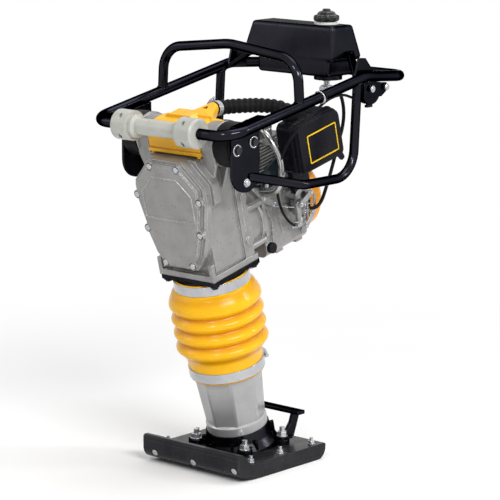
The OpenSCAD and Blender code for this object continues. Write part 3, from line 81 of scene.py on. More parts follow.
def placeCamera(c):
    eye = bpy.data.cameras.new("camera")
    eye.lens = c["lens"]
    eye.clip_end = 200
    holder = bpy.data.objects.new("camera", eye)
    holder.location = c["spot"]
    holder.rotation_euler = [math.radians(a) for a in c["turn"]]
    bpy.context.scene.collection.objects.link(holder)
    bpy.context.scene.camera = holder


placeCamera(camera)

# studio: strengths in watts, sizes and places in metres; the world fills the rest
lamps = {
    "keyBox": {"spot": (4.2, -1.7, 3.2), "size": (2.6, 0.62), "watts": 175, "aim": (0, 0, 0.5)},
    "leftBox": {"spot": (-3.4, -2.6, 2.6), "size": (1.2, 2.0), "watts": 18, "aim": (0, 0, 0.5)},
    "topBox": {"spot": (0.3, 0.9, 3.8), "size": (2.4, 2.4), "watts": 66, "aim": (0, 0, 0.4)},
    "nearStrip": {"spot": (1.6, -4.7, 3.9), "size": (0.8, 0.24), "watts": 66, "aim": (0, 0, 0.6)},
    "rearStrip": {"spot": (3.6, 2.6, 2.4), "size": (0.22, 1.6), "watts": 42, "aim": (0, 0, 0.6)},
}
surround = {"fill": 0.36, "seen": 1.0}


def hangLamps(plans):
    for name, l in plans.items():
        light = bpy.data.lights.new(name, "AREA")
        light.shape = "RECTANGLE"
        light.size, light.size_y = l["size"]
        light.energy = l["watts"]
        holder = bpy.data.objects.new(name, light)
        holder.location = l["spot"]
        away = np.array(l["spot"]) - np.array(l["aim"])    # a lamp shines down its own z, so z points away
        flat = math.hypot(away[0], away[1])
        holder.rotation_euler = (math.atan2(flat, away[2]), 0, math.atan2(away[0], -away[1]))
        bpy.context.scene.collection.objects.link(holder)


hangLamps(lamps)


# one short way to add a node, set its sockets and wire it: i0, i1 and so on are sockets by number, and in a
# socket's name _ stands for a space
def add(tree, kind, settings=None, **inputs):
    n = tree.nodes.new("ShaderNode" + kind)
    for k, v in (settings or {}).items():
        setattr(n, k, v)
    for k, v in inputs.items():
        key = int(k[1:]) if k[0] == "i" and k[1:].isdigit() else k.replace("_", " ")
        socket = n.inputs[key]
        if isinstance(v, bpy.types.NodeSocket):
            tree.links.new(v, socket)
        else:
            socket.default_value = v
    return n


# 1 where a ray comes from the camera, a mirror or glass
def seenRay(tree):
    path = add(tree, "LightPath")
    seen = path.outputs["Is Camera Ray"]
    for other in ("Is Glossy Ray", "Is Transmission Ray"):
        seen = add(tree, "Math", {"operation": "MAXIMUM"}, i0=seen, i1=path.outputs[other]).outputs[0]
    return seen


def lightSurround(s):
    world = bpy.data.worlds.new("studio")
    bpy.context.scene.world = world
    world.use_nodes = True
    tree = world.node_tree
    tree.nodes.clear()
    dim = add(tree, "Background", Color=(1, 1, 1, 1), Strength=s["fill"])
    white = add(tree, "Background", Color=(1, 1, 1, 1), Strength=s["seen"])
    pick = add(tree, "MixShader", i0=seenRay(tree), i1=dim.outputs[0], i2=white.outputs[0])
    add(tree, "OutputWorld", Surface=pick.outputs[0])


lightSurround(surround)

floorPlan = {"reach": 40.0, "drop": 0.0004, "colour": (0.93, 0.93, 0.93, 1), "fadeFrom": 0.5, "fadeTo": 1.9}


# floor: one wide sheet, shaded where the shoe stands and fading to white as seen further out
def layFloor(f):
    r, z = f["reach"], -f["drop"]
    mesh = bpy.data.meshes.new("floor")
    mesh.from_pydata([(-r, -r, z), (r, -r, z), (r, r, z), (-r, r, z)], [], [(0, 1, 2, 3)])
    floor = bpy.data.objects.new("floor", mesh)
    bpy.context.scene.collection.objects.link(floor)
    paint = bpy.data.materials.new("paleFloor")
    paint.use_nodes = True
    tree = paint.node_tree
    tree.nodes.clear()
    place = add(tree, "TexCoord")
    far = add(tree, "VectorMath", {"operation": "LENGTH"}, i0=place.outputs["Object"])
    fade = add(tree, "MapRange", {"interpolation_type": "SMOOTHSTEP"}, i0=far.outputs["Value"],
               i1=f["fadeFrom"], i2=f["fadeTo"])
    share = add(tree, "Math", {"operation": "MULTIPLY"}, i0=fade.outputs[0], i1=seenRay(tree))
    matt = add(tree, "BsdfDiffuse", Color=f["colour"])
    glow = add(tree, "Emission", Color=(1, 1, 1, 1), Strength=1.0)
    both = add(tree, "MixShader", i0=share.outputs[0], i1=matt.outputs[0], i2=glow.outputs[0])
    add(tree, "OutputMaterial", Surface=both.outputs[0])
    mesh.materials.append(paint)


layFloor(floorPlan)
print("camera, lamps and floor placed")

# finishes: one for each material slot of the record, and five more that share one of its slots. colour and
# stain are linear tones; stainSize and grain are waves a metre; depth is the grain's height in metres; soften
# is the radius that rounds the light along an edge; wearAndHighlightShare is how far edges turn to the
# wornAndHighlightTone, which is rubbed paint on most finishes and a painted edge highlight on cast_alloy;
# creaseShadeColour is the painted shade in the bellows' valleys; edge tints a metal's glancing light, and 0
# keeps black paint black there
finishes = {
    "shoe_steel": {"colour": (0.010, 0.010, 0.013), "stain": (0.020, 0.020, 0.023), "stainSize": 22,
        "rough": 0.27, "roughSpread": 0.16, "grain": 420, "depth": 0.00006, "wornAndHighlightTone": (0.10, 0.10, 0.11),
        "wearAndHighlightShare": 0.5, "soften": 0.0022, "shine": 0.12},
    "foot_black": {"colour": (0.018, 0.018, 0.022), "stain": (0.024, 0.024, 0.028), "stainSize": 30,
        "rough": 0.24, "roughSpread": 0.12, "grain": 700, "depth": 0.00012, "wornAndHighlightTone": (0.05, 0.05, 0.052),
        "wearAndHighlightShare": 0.3, "soften": 0.0016, "metal": 1.0, "edge": 0.0},
    "leg_alloy": {"colour": (0.40, 0.40, 0.405), "stain": (0.33, 0.33, 0.335), "stainSize": 14,
        "rough": 0.32, "roughSpread": 0.10, "grain": 900, "depth": 0.00002, "metal": 0.45, "shine": 0.9},
    # cast_alloy: its edge tone is a painted edge highlight, far lighter than the metal itself
    "cast_alloy": {"colour": (0.27, 0.266, 0.262), "stain": (0.21, 0.206, 0.20), "stainSize": 26,
        "rough": 0.32, "roughSpread": 0.14, "grain": 1100, "depth": 0.00003, "metal": 0.3,
        "wornAndHighlightTone": (0.80, 0.80, 0.80), "wearAndHighlightShare": 0.95, "soften": 0.0024, "shine": 0.75},
    "zinc_plate": {"colour": (0.50, 0.51, 0.53), "stain": (0.40, 0.41, 0.43), "stainSize": 20,
        "rough": 0.20, "roughSpread": 0.08, "grain": 1500, "depth": 0.00002, "metal": 0.75,
        "wornAndHighlightTone": (0.8, 0.81, 0.83), "wearAndHighlightShare": 0.4, "soften": 0.0006},
    "black_bolt": {"colour": (0.012, 0.012, 0.014), "stain": (0.03, 0.028, 0.027), "stainSize": 90,
        "rough": 0.34, "roughSpread": 0.12, "grain": 1200, "depth": 0.00003, "metal": 0.3,
        "wornAndHighlightTone": (0.12, 0.12, 0.125), "wearAndHighlightShare": 0.4, "soften": 0.0006, "shine": 0.25},
    "machined_steel": {"colour": (0.42, 0.43, 0.45), "stain": (0.28, 0.285, 0.30), "stainSize": 20,
        "rough": 0.22, "roughSpread": 0.08, "grain": 1600, "depth": 0.00002, "metal": 1.0,
        "wornAndHighlightTone": (0.7, 0.7, 0.7), "wearAndHighlightShare": 0.3, "soften": 0.0005},
    "spring_steel": {"colour": (0.055, 0.075, 0.11), "stain": (0.035, 0.045, 0.07), "stainSize": 60,
        "rough": 0.38, "roughSpread": 0.08, "grain": 1400, "depth": 0.00005, "metal": 0.4,
        "wornAndHighlightTone": (0.2, 0.2, 0.22), "wearAndHighlightShare": 0.2, "soften": 0.0005},
    "bronze": {"colour": (0.60, 0.38, 0.17), "stain": (0.42, 0.26, 0.11), "stainSize": 50, "rough": 0.28,
        "roughSpread": 0.1, "grain": 1500, "depth": 0.00002, "metal": 1.0, "wornAndHighlightTone": (0.8, 0.6, 0.35),
        "wearAndHighlightShare": 0.3, "soften": 0.0005},
    "yellow_rubber": {"colour": (0.85, 0.455, 0.003), "stain": (0.80, 0.40, 0.003), "stainSize": 12,
        "rough": 0.24, "roughSpread": 0.08, "grain": 260, "depth": 0.00012, "shine": 0.28,
        # painted shade: the darker orange laid into the bellows' valleys
        "creaseShadeColour": (0.50, 0.15, 0.0)},
    "black_rubber": {"colour": (0.006, 0.006, 0.007), "stain": (0.011, 0.011, 0.012), "stainSize": 40,
        "rough": 0.46, "roughSpread": 0.12, "grain": 800, "depth": 0.00010, "wornAndHighlightTone": (0.03, 0.03, 0.03),
        "wearAndHighlightShare": 0.15, "soften": 0.0006, "shine": 0.07},
    "pot_metal": {"colour": (0.42, 0.42, 0.42), "stain": (0.29, 0.29, 0.285), "stainSize": 60,
        "rough": 0.32, "roughSpread": 0.12, "grain": 1300, "depth": 0.00010, "metal": 0.85,
        "wornAndHighlightTone": (0.7, 0.7, 0.7), "wearAndHighlightShare": 0.4, "soften": 0.0008},
    "dark_steel": {"colour": (0.06, 0.055, 0.052), "stain": (0.10, 0.07, 0.05), "stainSize": 30,
        "rough": 0.48, "roughSpread": 0.14, "grain": 900, "depth": 0.00008, "metal": 0.5,
        "wornAndHighlightTone": (0.22, 0.2, 0.19), "wearAndHighlightShare": 0.35, "soften": 0.001},
    "orange_cover": {"colour": (0.78, 0.31, 0.008), "stain": (0.70, 0.26, 0.008), "stainSize": 12,
        "rough": 0.22, "roughSpread": 0.08, "grain": 600, "depth": 0.00004, "wornAndHighlightTone": (0.88, 0.42, 0.08),
        "wearAndHighlightShare": 0.15, "soften": 0.0016, "shine": 0.35},
    "amber_plastic": {"colour": (0.87, 0.46, 0.018), "stain": (0.80, 0.40, 0.014), "stainSize": 11,
        "rough": 0.30, "roughSpread": 0.10, "grain": 520, "depth": 0.00008, "wornAndHighlightTone": (0.95, 0.55, 0.06),
        "wearAndHighlightShare": 0.12, "soften": 0.0022, "shine": 0.28},
    "black_plastic": {"colour": (0.005, 0.005, 0.008), "stain": (0.008, 0.008, 0.012), "stainSize": 16,
        "rough": 0.26, "roughSpread": 0.10, "grain": 950, "depth": 0.00010, "wornAndHighlightTone": (0.03, 0.03, 0.034),
        "wearAndHighlightShare": 0.15, "soften": 0.0022, "shine": 0.10},
    "filter_foam": {"colour": (0.10, 0.10, 0.085), "stain": (0.06, 0.06, 0.05), "stainSize": 60,
        "rough": 0.9, "roughSpread": 0.05, "grain": 500, "depth": 0.0008, "shine": 0.2},
    "frame_black": {"colour": (0.016, 0.016, 0.021), "stain": (0.022, 0.022, 0.028), "stainSize": 9,
        "rough": 0.14, "roughSpread": 0.06, "grain": 300, "depth": 0.00005, "wornAndHighlightTone": (0.04, 0.04, 0.045),
        "wearAndHighlightShare": 0.2, "soften": 0.0016, "metal": 1.0, "edge": 0.0},
    "roller_plastic": {"colour": (0.42, 0.425, 0.385), "stain": (0.36, 0.365, 0.33), "stainSize": 14,
        "rough": 0.30, "roughSpread": 0.10, "grain": 700, "depth": 0.00006, "wornAndHighlightTone": (0.62, 0.62, 0.58),
        "wearAndHighlightShare": 0.15, "soften": 0.0016, "shine": 0.45},
    "cap_gloss": {"colour": (0.005, 0.005, 0.006), "stain": (0.008, 0.008, 0.010), "stainSize": 40,
        "rough": 0.13, "roughSpread": 0.06, "grain": 700, "depth": 0.00004, "shine": 0.3},
    "tank_gloss": {"colour": (0.020, 0.020, 0.026), "stain": (0.027, 0.027, 0.034), "stainSize": 12,
        "rough": 0.24, "roughSpread": 0.10, "grain": 950, "depth": 0.00008, "soften": 0.008, "metal": 1.0,
        "edge": 0.0},
    "bright_pipe": {"colour": (0.46, 0.465, 0.47), "stain": (0.32, 0.325, 0.33), "stainSize": 30,
        "rough": 0.24, "roughSpread": 0.08, "grain": 1400, "depth": 0.00002, "metal": 1.0},
    "shroud_paint": {"colour": (0.012, 0.020, 0.024), "stain": (0.020, 0.030, 0.034), "stainSize": 24,
        "rough": 0.16, "roughSpread": 0.08, "grain": 500, "depth": 0.00006, "shine": 0.4},
    "border_yellow": {"colour": (0.86, 0.56, 0.01), "stain": (0.80, 0.50, 0.01), "stainSize": 60,
        "rough": 0.4, "roughSpread": 0.08, "grain": 900, "depth": 0.00002, "shine": 0.2},
    "white_plastic": {"colour": (0.74, 0.74, 0.71), "stain": (0.66, 0.66, 0.62), "stainSize": 30,
        "rough": 0.36, "roughSpread": 0.06, "grain": 900, "depth": 0.00004, "wornAndHighlightTone": (0.8, 0.8, 0.78),
        "wearAndHighlightShare": 0.1, "soften": 0.001, "shine": 0.4},
}

# where the noises start and end to count, and how much finer than the stain the chips and patches are, the
# same for every finish
noiseSpans = {"drift": (0.34, 0.68), "corner": (0.95, 0.72), "chips": (0.42, 0.62), "chipShare": 6,
              "leastWornAndHighlight": 0.15, "patch": (0.3, 0.7), "patchShare": 2.3}


# a colour between two others, by a share from 0 to 1
def blend(tree, share, first, second):
    return add(tree, "Mix", {"data_type": "RGBA"}, i0=share, i6=first, i7=second).outputs[2]


# colour drifts between two tones in slow waves, fine grain lifts the surface, edges turn to a third tone:
# rubbed paint on most finishes, a painted edge highlight on cast_alloy
def makeFinish(name, f, n):
    paint = bpy.data.materials.new(name)
    paint.use_nodes = True
    tree = paint.node_tree
    tree.nodes.clear()
    place = add(tree, "TexCoord").outputs["Object"]
    slow = add(tree, "TexNoise", Vector=place, Scale=f["stainSize"], Detail=5.0, Roughness=0.62)
    drift = add(tree, "MapRange", i0=slow.outputs[0], i1=n["drift"][0], i2=n["drift"][1])
    colour = blend(tree, drift.outputs[0], (*f["colour"], 1), (*f["stain"], 1))
    if "creaseShadeColour" in f:    # painted shade: the share of a valley, written on the mesh as an attribute, darkens the colour there
        valleyShadeShare = add(tree, "Attribute", {"attribute_name": "valleyShadeShare"})
        colour = blend(tree, valleyShadeShare.outputs["Fac"], colour, (*f["creaseShadeColour"], 1))
    fine = add(tree, "TexNoise", Vector=place, Scale=f["grain"], Detail=3.0, Roughness=0.6)
    lift = {"Height": fine.outputs[0], "Strength": 1.0, "Distance": f["depth"]}
    if "soften" in f:
        softEdge = add(tree, "Bevel", {"samples": 8}, Radius=f["soften"])
        lift["Normal"] = softEdge.outputs[0]
    if "wearAndHighlightShare" in f:      # an edge is where the softened normal leaves the flat one, and chips break it up
        # the edge tone is rubbed paint on most finishes, and a painted edge highlight on cast_alloy
        flat = add(tree, "NewGeometry").outputs["Normal"]
        same = add(tree, "VectorMath", {"operation": "DOT_PRODUCT"}, i0=softEdge.outputs[0], i1=flat)
        corner = add(tree, "MapRange", i0=same.outputs["Value"], i1=n["corner"][0], i2=n["corner"][1])
        chips = add(tree, "TexNoise", Vector=place, Scale=f["stainSize"] * n["chipShare"], Detail=4.0)
        wornAndHighlightMask = add(tree, "MapRange", i0=chips.outputs[0], i1=n["chips"][0], i2=n["chips"][1], i3=n["leastWornAndHighlight"],
                   i4=f["wearAndHighlightShare"])
        both = add(tree, "Math", {"operation": "MULTIPLY"}, i0=corner.outputs[0], i1=wornAndHighlightMask.outputs[0])
        colour = blend(tree, both.outputs[0], colour, (*f["wornAndHighlightTone"], 1))
    bump = add(tree, "Bump", **lift)
    patch = add(tree, "TexNoise", Vector=place, Scale=f["stainSize"] * n["patchShare"], Detail=6.0,
                Roughness=0.7)
    rough = add(tree, "MapRange", i0=patch.outputs[0], i1=n["patch"][0], i2=n["patch"][1],
                i3=f["rough"] - f["roughSpread"] / 2, i4=f["rough"] + f["roughSpread"] / 2)
    tint = (*[f.get("edge", 1.0)] * 3, 1)
    shader = add(tree, "BsdfPrincipled", Base_Color=colour, Roughness=rough.outputs[0],
                 Metallic=f.get("metal", 0.0), Specular_IOR_Level=f.get("shine", 0.5), Normal=bump.outputs[0],
                 Specular_Tint=tint)
    add(tree, "OutputMaterial", Surface=shader.outputs[0])
    return paint


paints = {name: makeFinish(name, f, noiseSpans) for name, f in finishes.items()}
slotOf = {s["node"]: s["material_slot"] for s in frame["record"]["subparts"]}
slotOf["fuel_tank"] = "tank_gloss"    # the blow-moulded tank shines more than the other black plastic
for name, solid in frame["nodes"].items():
    paint = paints[slotOf[name]]
    if not solid.material_slots:
        solid.data.materials.append(paint)
    for slot in solid.material_slots:
        slot.material = paint
print(len(paints), "finishes made")


# a new piece from its corner points and faces, with one finish, riding on one body
def piece(name, points, faces, finish, body=None, smooth=True):
    mesh = bpy.data.meshes.new(name)
    mesh.from_pydata(np.asarray(points).reshape(-1, 3), [], faces)
    mesh.validate()
    if smooth:
        mesh.shade_smooth()
    mesh.materials.append(paints[finish])
    thing = bpy.data.objects.new(name, mesh)
    bpy.context.scene.collection.objects.link(thing)
    if body:
        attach(thing, body)
    return thing


# faces of a grid of rows by columns whose columns run round; the rows may run round too, or end in flat fans
def gridFaces(rows, columns, ringed):
    i, k = np.meshgrid(np.arange(rows if ringed else rows - 1), np.arange(columns), indexing="ij")
    a, b = i * columns + k, i * columns + (k + 1) % columns
    c, d = (i + 1) % rows * columns + (k + 1) % columns, (i + 1) % rows * columns + k
    quads = np.stack([a, b, c, d], -1).reshape(-1, 4).tolist()
    if ringed:
        return quads
    return quads + [list(range(columns))[::-1], list(range((rows - 1) * columns, rows * columns))]


# a line through every given point: each stretch is the cubic whose slope at a point is half the step between
# the points on its two sides
def smoothLine(points, steps):
    p = np.asarray(points, float)
    before, after = np.vstack([p[:1], p[:-2]]), np.vstack([p[2:], p[-1:]])
    a, b, t = p[:-1, None], p[1:, None], np.linspace(0, 1, steps, endpoint=False)[None, :, None]
    pa, nb = before[:, None], after[:, None]
    square, cube = 2 * pa - 5 * a + 4 * b - nb, 3 * a - pa - 3 * b + nb
    line = 0.5 * (2 * a + (b - pa) * t + square * t ** 2 + cube * t ** 3)
    return np.vstack([line.reshape(-1, 3), p[-1:]])


# a round profile carried along a line: point (i, k) = line point i + radius i times (side cos k + up sin k),
# where up is square to the line's heading and to a fixed side direction
def carried(line, radius, sides, side):
    step = np.gradient(line, axis=0)
    ahead = step / np.linalg.norm(step, axis=1, keepdims=True)
    up = np.cross(ahead, np.asarray(side, float))
    up /= np.linalg.norm(up, axis=1, keepdims=True)
    across = np.cross(up, ahead)
    turn = np.linspace(0, 2 * np.pi, sides, endpoint=False)[None, :, None]
    r = np.broadcast_to(radius, len(line))[:, None, None]
    return line[:, None] + r * (across[:, None] * np.cos(turn) + up[:, None] * np.sin(turn))


# a turned shape: profile point (r, h) at angle k becomes (r cos k, r sin k, h)
def turned(profile, sides):
    p = np.asarray(profile, float)
    turn = np.linspace(0, 2 * np.pi, sides, endpoint=False)[None]
    return np.stack([p[:, :1] * np.cos(turn), p[:, :1] * np.sin(turn), p[:, 1:] + 0 * turn], -1)


# all faces of closed shells turned outwards
def facingOut(thing):
    mesh = thing.data
    m = bmesh.new()
    m.from_mesh(mesh)
    bmesh.ops.recalc_face_normals(m, faces=m.faces)
    m.to_mesh(mesh)
    m.free()
    return thing


# bellows: four swells between two cuffs. Height climbs evenly with t, and faster from riseFrom on; radius =
# valley + (top - valley) * (half a cosine wave of t) ** fullness, and the wall comes back down inside. The
# cuffs and the shoulder are (change of radius, height) of the profile
bellowsPlan = {"cuff": 80.3, "valley": 93.0, "top": 104.0, "wall": 3.2, "waveFrom": 277, "pitch": 34,
               "rise": 13, "riseFrom": 3.5, "swells": 4, "fullness": 0.72, "sides": 160, "steps": 26,
               "lowCuff": [(0, 219), (0, 250), (1.2, 256)], "shoulder": [(-7.5, 266), (-4, 272)],
               "highCuff": [(5, 427.2), (1.2, 429.7), (0, 431.2), (0, 456.7)],
               # painted shade in the valleys: its power, where it fades in low and high, and its strongest
               # share
               "valleyShadeShare": {"power": 2.2, "low": 268, "lowFade": 10, "high": 430, "highFade": 14, "most": 0.85}}


def makeBellows(b):
    def side(grow):
        t = np.linspace(0, b["swells"], b["swells"] * b["steps"] + 1)[1:-1]
        wave = ((1 - np.cos(2 * np.pi * t)) / 2) ** b["fullness"]
        base = b["valley"] - b["wall"] + grow
        up = b["waveFrom"] + t * b["pitch"] + np.maximum(0, t - b["riseFrom"]) * 2 * b["rise"]
        swell = np.stack([base + (b["top"] - b["valley"]) * wave, up], -1)
        low = [[b["cuff"] + grow + r, h] for r, h in b["lowCuff"]] + [[base + r, h] for r, h in b["shoulder"]]
        high = [[b["cuff"] + grow + r, h] for r, h in b["highCuff"]]
        return np.vstack([low, swell, high])

    outer, inner = side(b["wall"]), side(0.0)
    points = leaning(turned(np.vstack([outer, inner[::-1]]), b["sides"]))
    faces = gridFaces(points.shape[0], b["sides"], True)
    skin = facingOut(piece("bellowsSkin", points, faces, "yellow_rubber"))
    # painted shade share: how far the outer wall lies below the swells' tops, to a power, and only between
    # swells
    f, height = b["valleyShadeShare"], outer[:, 1]
    depth = np.clip((b["top"] - outer[:, 0]) / (b["top"] - b["valley"]), 0, 1) ** f["power"]
    depth *= np.clip((height - f["low"]) / f["lowFade"], 0, 1)
    depth *= np.clip((f["high"] - height) / f["highFade"], 0, 1)
    share = np.repeat(np.concatenate([depth * f["most"], 0 * inner[:, 0]]), b["sides"])
    skin.data.attributes.new("valleyShadeShare", "FLOAT", "POINT").data.foreach_set("value", share.astype(np.float32))
    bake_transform(skin)
    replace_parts(skin, "bellows")


makeBellows(bellowsPlan)

# ram springs: a round wire whose middle runs on a helix, across / 2 from the axis, climbing evenly
springPlans = {
    "lowerSpring": {"node": "lower_spring", "low": 102, "high": 238, "ends": ("foot", "machine")},
    "upperSpring": {"node": "upper_spring", "low": 262, "high": 412, "ends": ("machine", "foot")},
}
springWire = {"across": 76, "wire": 11, "turns": 5, "gap": 0.6, "steps": 40, "sides": 14}


def makeSpring(name, s, w):
    t = np.linspace(0, 1, w["turns"] * w["steps"] + 1)
    low, high = s["low"] + w["wire"] / 2 + w["gap"], s["high"] - w["wire"] / 2 - w["gap"]
    spin = 2 * np.pi * w["turns"] * t
    r = w["across"] / 2
    line = np.stack([r * np.cos(spin), r * np.sin(spin), low + (high - low) * t], -1)
    ring = carried(line, w["wire"] / 2, w["sides"], (0, 0, 1))
    coil = facingOut(piece(name, leaning(ring), gridFaces(len(line), w["sides"], False), "spring_steel"))
    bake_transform(coil)
    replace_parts(coil, s["node"])


for name, plan in springPlans.items():
    makeSpring(name, plan, springWire)
print("bellows and springs made")

# intake hose: a tube whose radius rises and falls along its length as half a cosine wave to the power of crest,
# a little unevenly by the sway, and fades over ease to smooth cuffs under the clamp and at the spout
hosePlan = {"route": [(30, -99, 811), (30, -88, 811), (34, -64, 812), (44, -32, 812), (62, 6, 811),
                      (84, 38, 807), (100, 55, 800), (107.6, 62.6, 790), (108, 65.1, 779.3)],
            "radius": 16.5, "groove": 3.2, "bore": 12.0, "rib": 13.5, "crest": 0.45, "cuffs": (16, 14),
            "cuffStep": 1.4, "wander": ((0.5, 17), (0.3, 7.3)), "sway": 0.12, "ease": 3, "steps": 300,
            "sides": 40}


def makeIntakeHose(h):
    line = smoothLine(h["route"], 40)
    run = np.concatenate([[0], np.cumsum(np.linalg.norm(np.diff(line, axis=0), axis=1))])
    even = np.linspace(0, run[-1], h["steps"])
    line = np.stack([np.interp(even, run, line[:, i]) for i in range(3)], -1)
    wander = sum(size * np.sin(even / length) for size, length in h["wander"])
    rib = ((1 + np.cos(2 * np.pi * (even / h["rib"] + h["sway"] * wander))) / 2) ** h["crest"]
    ribbed = np.clip(np.minimum(even - h["cuffs"][0], run[-1] - h["cuffs"][1] - even) / h["ease"], 0, 1)
    radius = h["radius"] - h["cuffStep"] * (1 - ribbed) - h["groove"] * (1 - rib) * ribbed
    outside = carried(line, radius, h["sides"], (0, 0, 1))
    inside = carried(line, h["bore"], h["sides"], (0, 0, 1))[::-6]    # back down the bore, with fewer rings
    skin = metres(np.concatenate([outside, inside]))
    faces = gridFaces(len(skin), h["sides"], True)
    hose = facingOut(piece("intakeHose", skin, faces, "black_rubber", "machine"))
    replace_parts(hose, "intake_hose")


makeIntakeHose(hosePlan)

# spark lead, in the leaning frame: a ribbed boot, a neck and the wire, their radii averaged over blur points
leadPlan = {"route": [(-65, 196, 704), (-70, 196, 708), (-79, 196, 714), (-92, 202, 722), (-98, 224, 722),
                      (-92, 252, 706), (-82, 272, 676), (-76, 280, 636)],
            "boot": 8.5, "neck": 6.0, "wire": 3.3, "bootTo": 28, "neckTo": 40, "blur": 7, "ribs": 0.35,
            "ribPace": 1.6, "ribsTo": 34}
# fuel hose and throttle cable, from the rubber mounts: routes as in the solids, in millimetres
linePlans = {
    "fuelHose": {"node": "fuel_hose", "radius": 4.0, "route": [
        (93.4, 385, 76), (98, 387, 73), (101, 392, 62), (102, 398, 42), (102, 400, 18), (101, 396, -10),
        (99, 386, -40), (99, 374, -70), (102, 356, -104), (108, 334, -134), (118, 306, -160), (121, 284, -172),
        (111.8, 273, -175)]},
    "throttleCable": {"node": "throttle_cable", "radius": 3.0, "route": [
        (191, 341, 74), (189, 326, 74), (187, 300, 82), (187, 272, 83), (184, 240, 74), (174, 208, 50),
        (156, 180, 16), (134, 164, -24), (114, 164, -72), (97, 178, -122), (91, 200, -170), (89, 226, -200),
        (88, 248, -214)]},
}


def makeLead(p, sides=20):
    line = smoothLine(p["route"], 14)
    t = np.arange(len(line))
    steps = np.where(t < p["bootTo"], p["boot"], np.where(t < p["neckTo"], p["neck"], p["wire"]))
    padded = np.pad(steps, p["blur"] // 2, mode="edge")
    smooth = np.convolve(padded, np.ones(p["blur"]) / p["blur"], mode="valid")
    ribs = p["ribs"] * (t < p["ribsTo"]) * np.cos(t * p["ribPace"])
    tube = carried(line, smooth + ribs, sides, (1, 0, 0.3))
    lead = piece("sparkLead", leaning(tube), gridFaces(len(line), sides, False), "black_rubber", "machine")
    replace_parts(facingOut(lead), "spark_lead")


def makeLine(name, p, sides=20):
    line = smoothLine(p["route"], 12)
    points = fromMounts(carried(line, p["radius"], sides, (1, 0.05, 0)))
    tube = piece(name, points, gridFaces(len(line), sides, False), "black_rubber", "machine")
    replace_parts(facingOut(tube), p["node"])


makeLead(leadPlan)
for name, plan in linePlans.items():
    makeLine(name, plan)

# the starter's rope runs straight from inside its cover into the grip (leaning frame)
ropePlan = {"x": -60, "z": 566.0, "inside": 304.3, "grip": 326.3, "radius": 2.1, "rings": 90}


def makeRope(r, sides=16):
    y = np.linspace(r["inside"], r["grip"], r["rings"])
    line = np.stack([r["x"] + 0 * y, y, r["z"] + 0 * y], -1)
    tube = leaning(carried(line, r["radius"], sides, (1, 0, 0.2)))
    rope = piece("starterRope", tube, gridFaces(len(line), sides, False), "black_rubber")
    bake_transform(facingOut(rope))


makeRope(ropePlan)
print("hoses and lines made")


# several closed shells in one piece: their points are stacked, and each shell's faces count on from the last
def shells(name, parts, finish, body, smooth=True):
    points, faces, count = [], [], 0
    for grid, ringed in parts:
        rows, columns = grid.shape[:2]
        faces += [[count + i for i in face] for face in gridFaces(rows, columns, ringed)]
        points.append(grid.reshape(-1, 3))
        count += rows * columns
    return facingOut(piece(name, np.vstack(points), faces, finish, body, smooth))


# a turned shape set down: its axis is swung from straight up to the given heading, then moved to its spot
def setDown(grid, spot, heading):
    z = np.asarray(heading, float) / np.linalg.norm(heading)
    x = np.cross((0.31, 0.95, 0.12), z)
    x /= np.linalg.norm(x)
    return grid @ np.array([x, np.cross(z, x), z]) + np.asarray(spot, float)


# hexagon head with a washer: the radius of the six sides is across / 2 / cos(angle to the nearest flat); the
# top edge is turned down by a small chamfer, kept inside a circle. Each ring is the radii and the height
def hexHead(across, tall, washer, spot, heading, disc=1.6, chamfer=0.9, steps=48):
    turn = np.linspace(0, 2 * np.pi, steps, endpoint=False)
    flat = (turn + np.pi / 6) % (np.pi / 3) - np.pi / 6
    hexagon = across / 2 / np.cos(flat)
    crown = np.minimum(hexagon, across / 2 * 1.02)
    rim = np.full(steps, washer)
    rings = [(rim, 0.0), (rim, disc), (hexagon, disc), (hexagon, tall - chamfer), (crown - 0.4, tall),
             (crown * 0.5, tall)]
    grid = np.stack([np.stack([r * np.cos(turn), r * np.sin(turn), 0 * turn + h], -1) for r, h in rings])
    return setDown(grid, spot, heading)


# fuel cap: a lower skirt of round lobes, a ribbed dome and a small knob. radius at an angle = plain radius +
# lobe * ((half a cosine wave of the angle) ** fullness - 0.5); the rows are (plain radius, height, lobe)
capPlan = {"spot": (65, 382, 230.3), "lobes": 8, "fullness": 0.7, "steps": 144,
           "rows": [(25.0, 0, 0), (26.4, 1.2, 1.8), (26.6, 4, 4.6), (26.6, 10.5, 4.8), (25.2, 13.4, 4.2),
                    (22.0, 14.8, 2.4), (20.4, 15.4, 1.6), (19.6, 17.4, 1.6), (17.6, 20.4, 1.5),
                    (14.0, 22.6, 1.0), (10.2, 23.6, 0.3), (9.2, 24.2, 0), (9.0, 26.4, 0), (8.2, 27.6, 0),
                    (5.5, 28.2, 0)]}


def makeFuelCap(c):
    turn = np.linspace(0, 2 * np.pi, c["steps"], endpoint=False)
    base, high, lobe = np.array(c["rows"], float).T[:, :, None]
    wave = ((1 + np.cos(c["lobes"] * turn)) / 2) ** c["fullness"]
    r = base + lobe * (wave[None] - 0.5)
    grid = np.stack([r * np.cos(turn), r * np.sin(turn), high + 0 * turn], -1) + np.array(c["spot"])
    cap = shells("fuelCapLobed", [(fromMounts(grid), False)], "cap_gloss", "fuel_cap")
    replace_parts(cap, "fuel_cap")


makeFuelCap(capPlan)

# weld beads where one round tube meets another, in millimetres from the rubber mounts: where the axes meet,
# which way the stem runs, and its radius. The rail is the handle's side tube for all of them
weldPlans = {
    "hoopRight": {"at": (202.4, 130, 75.4), "stem": (-6, 0, 98.6), "radius": 11},
    "hoopLeft": {"at": (-202.4, 130, 75.4), "stem": (6, 0, 98.6), "radius": 11},
    "tubeRight": {"at": (202.4, 325, 113.2), "stem": (0, -14, -210), "radius": 10.5},
    "tubeLeft": {"at": (-202.4, 325, 113.2), "stem": (0, -14, -210), "radius": 10.5},
}
handleRail = {"way": (0, 451, 87.4), "radius": 12}

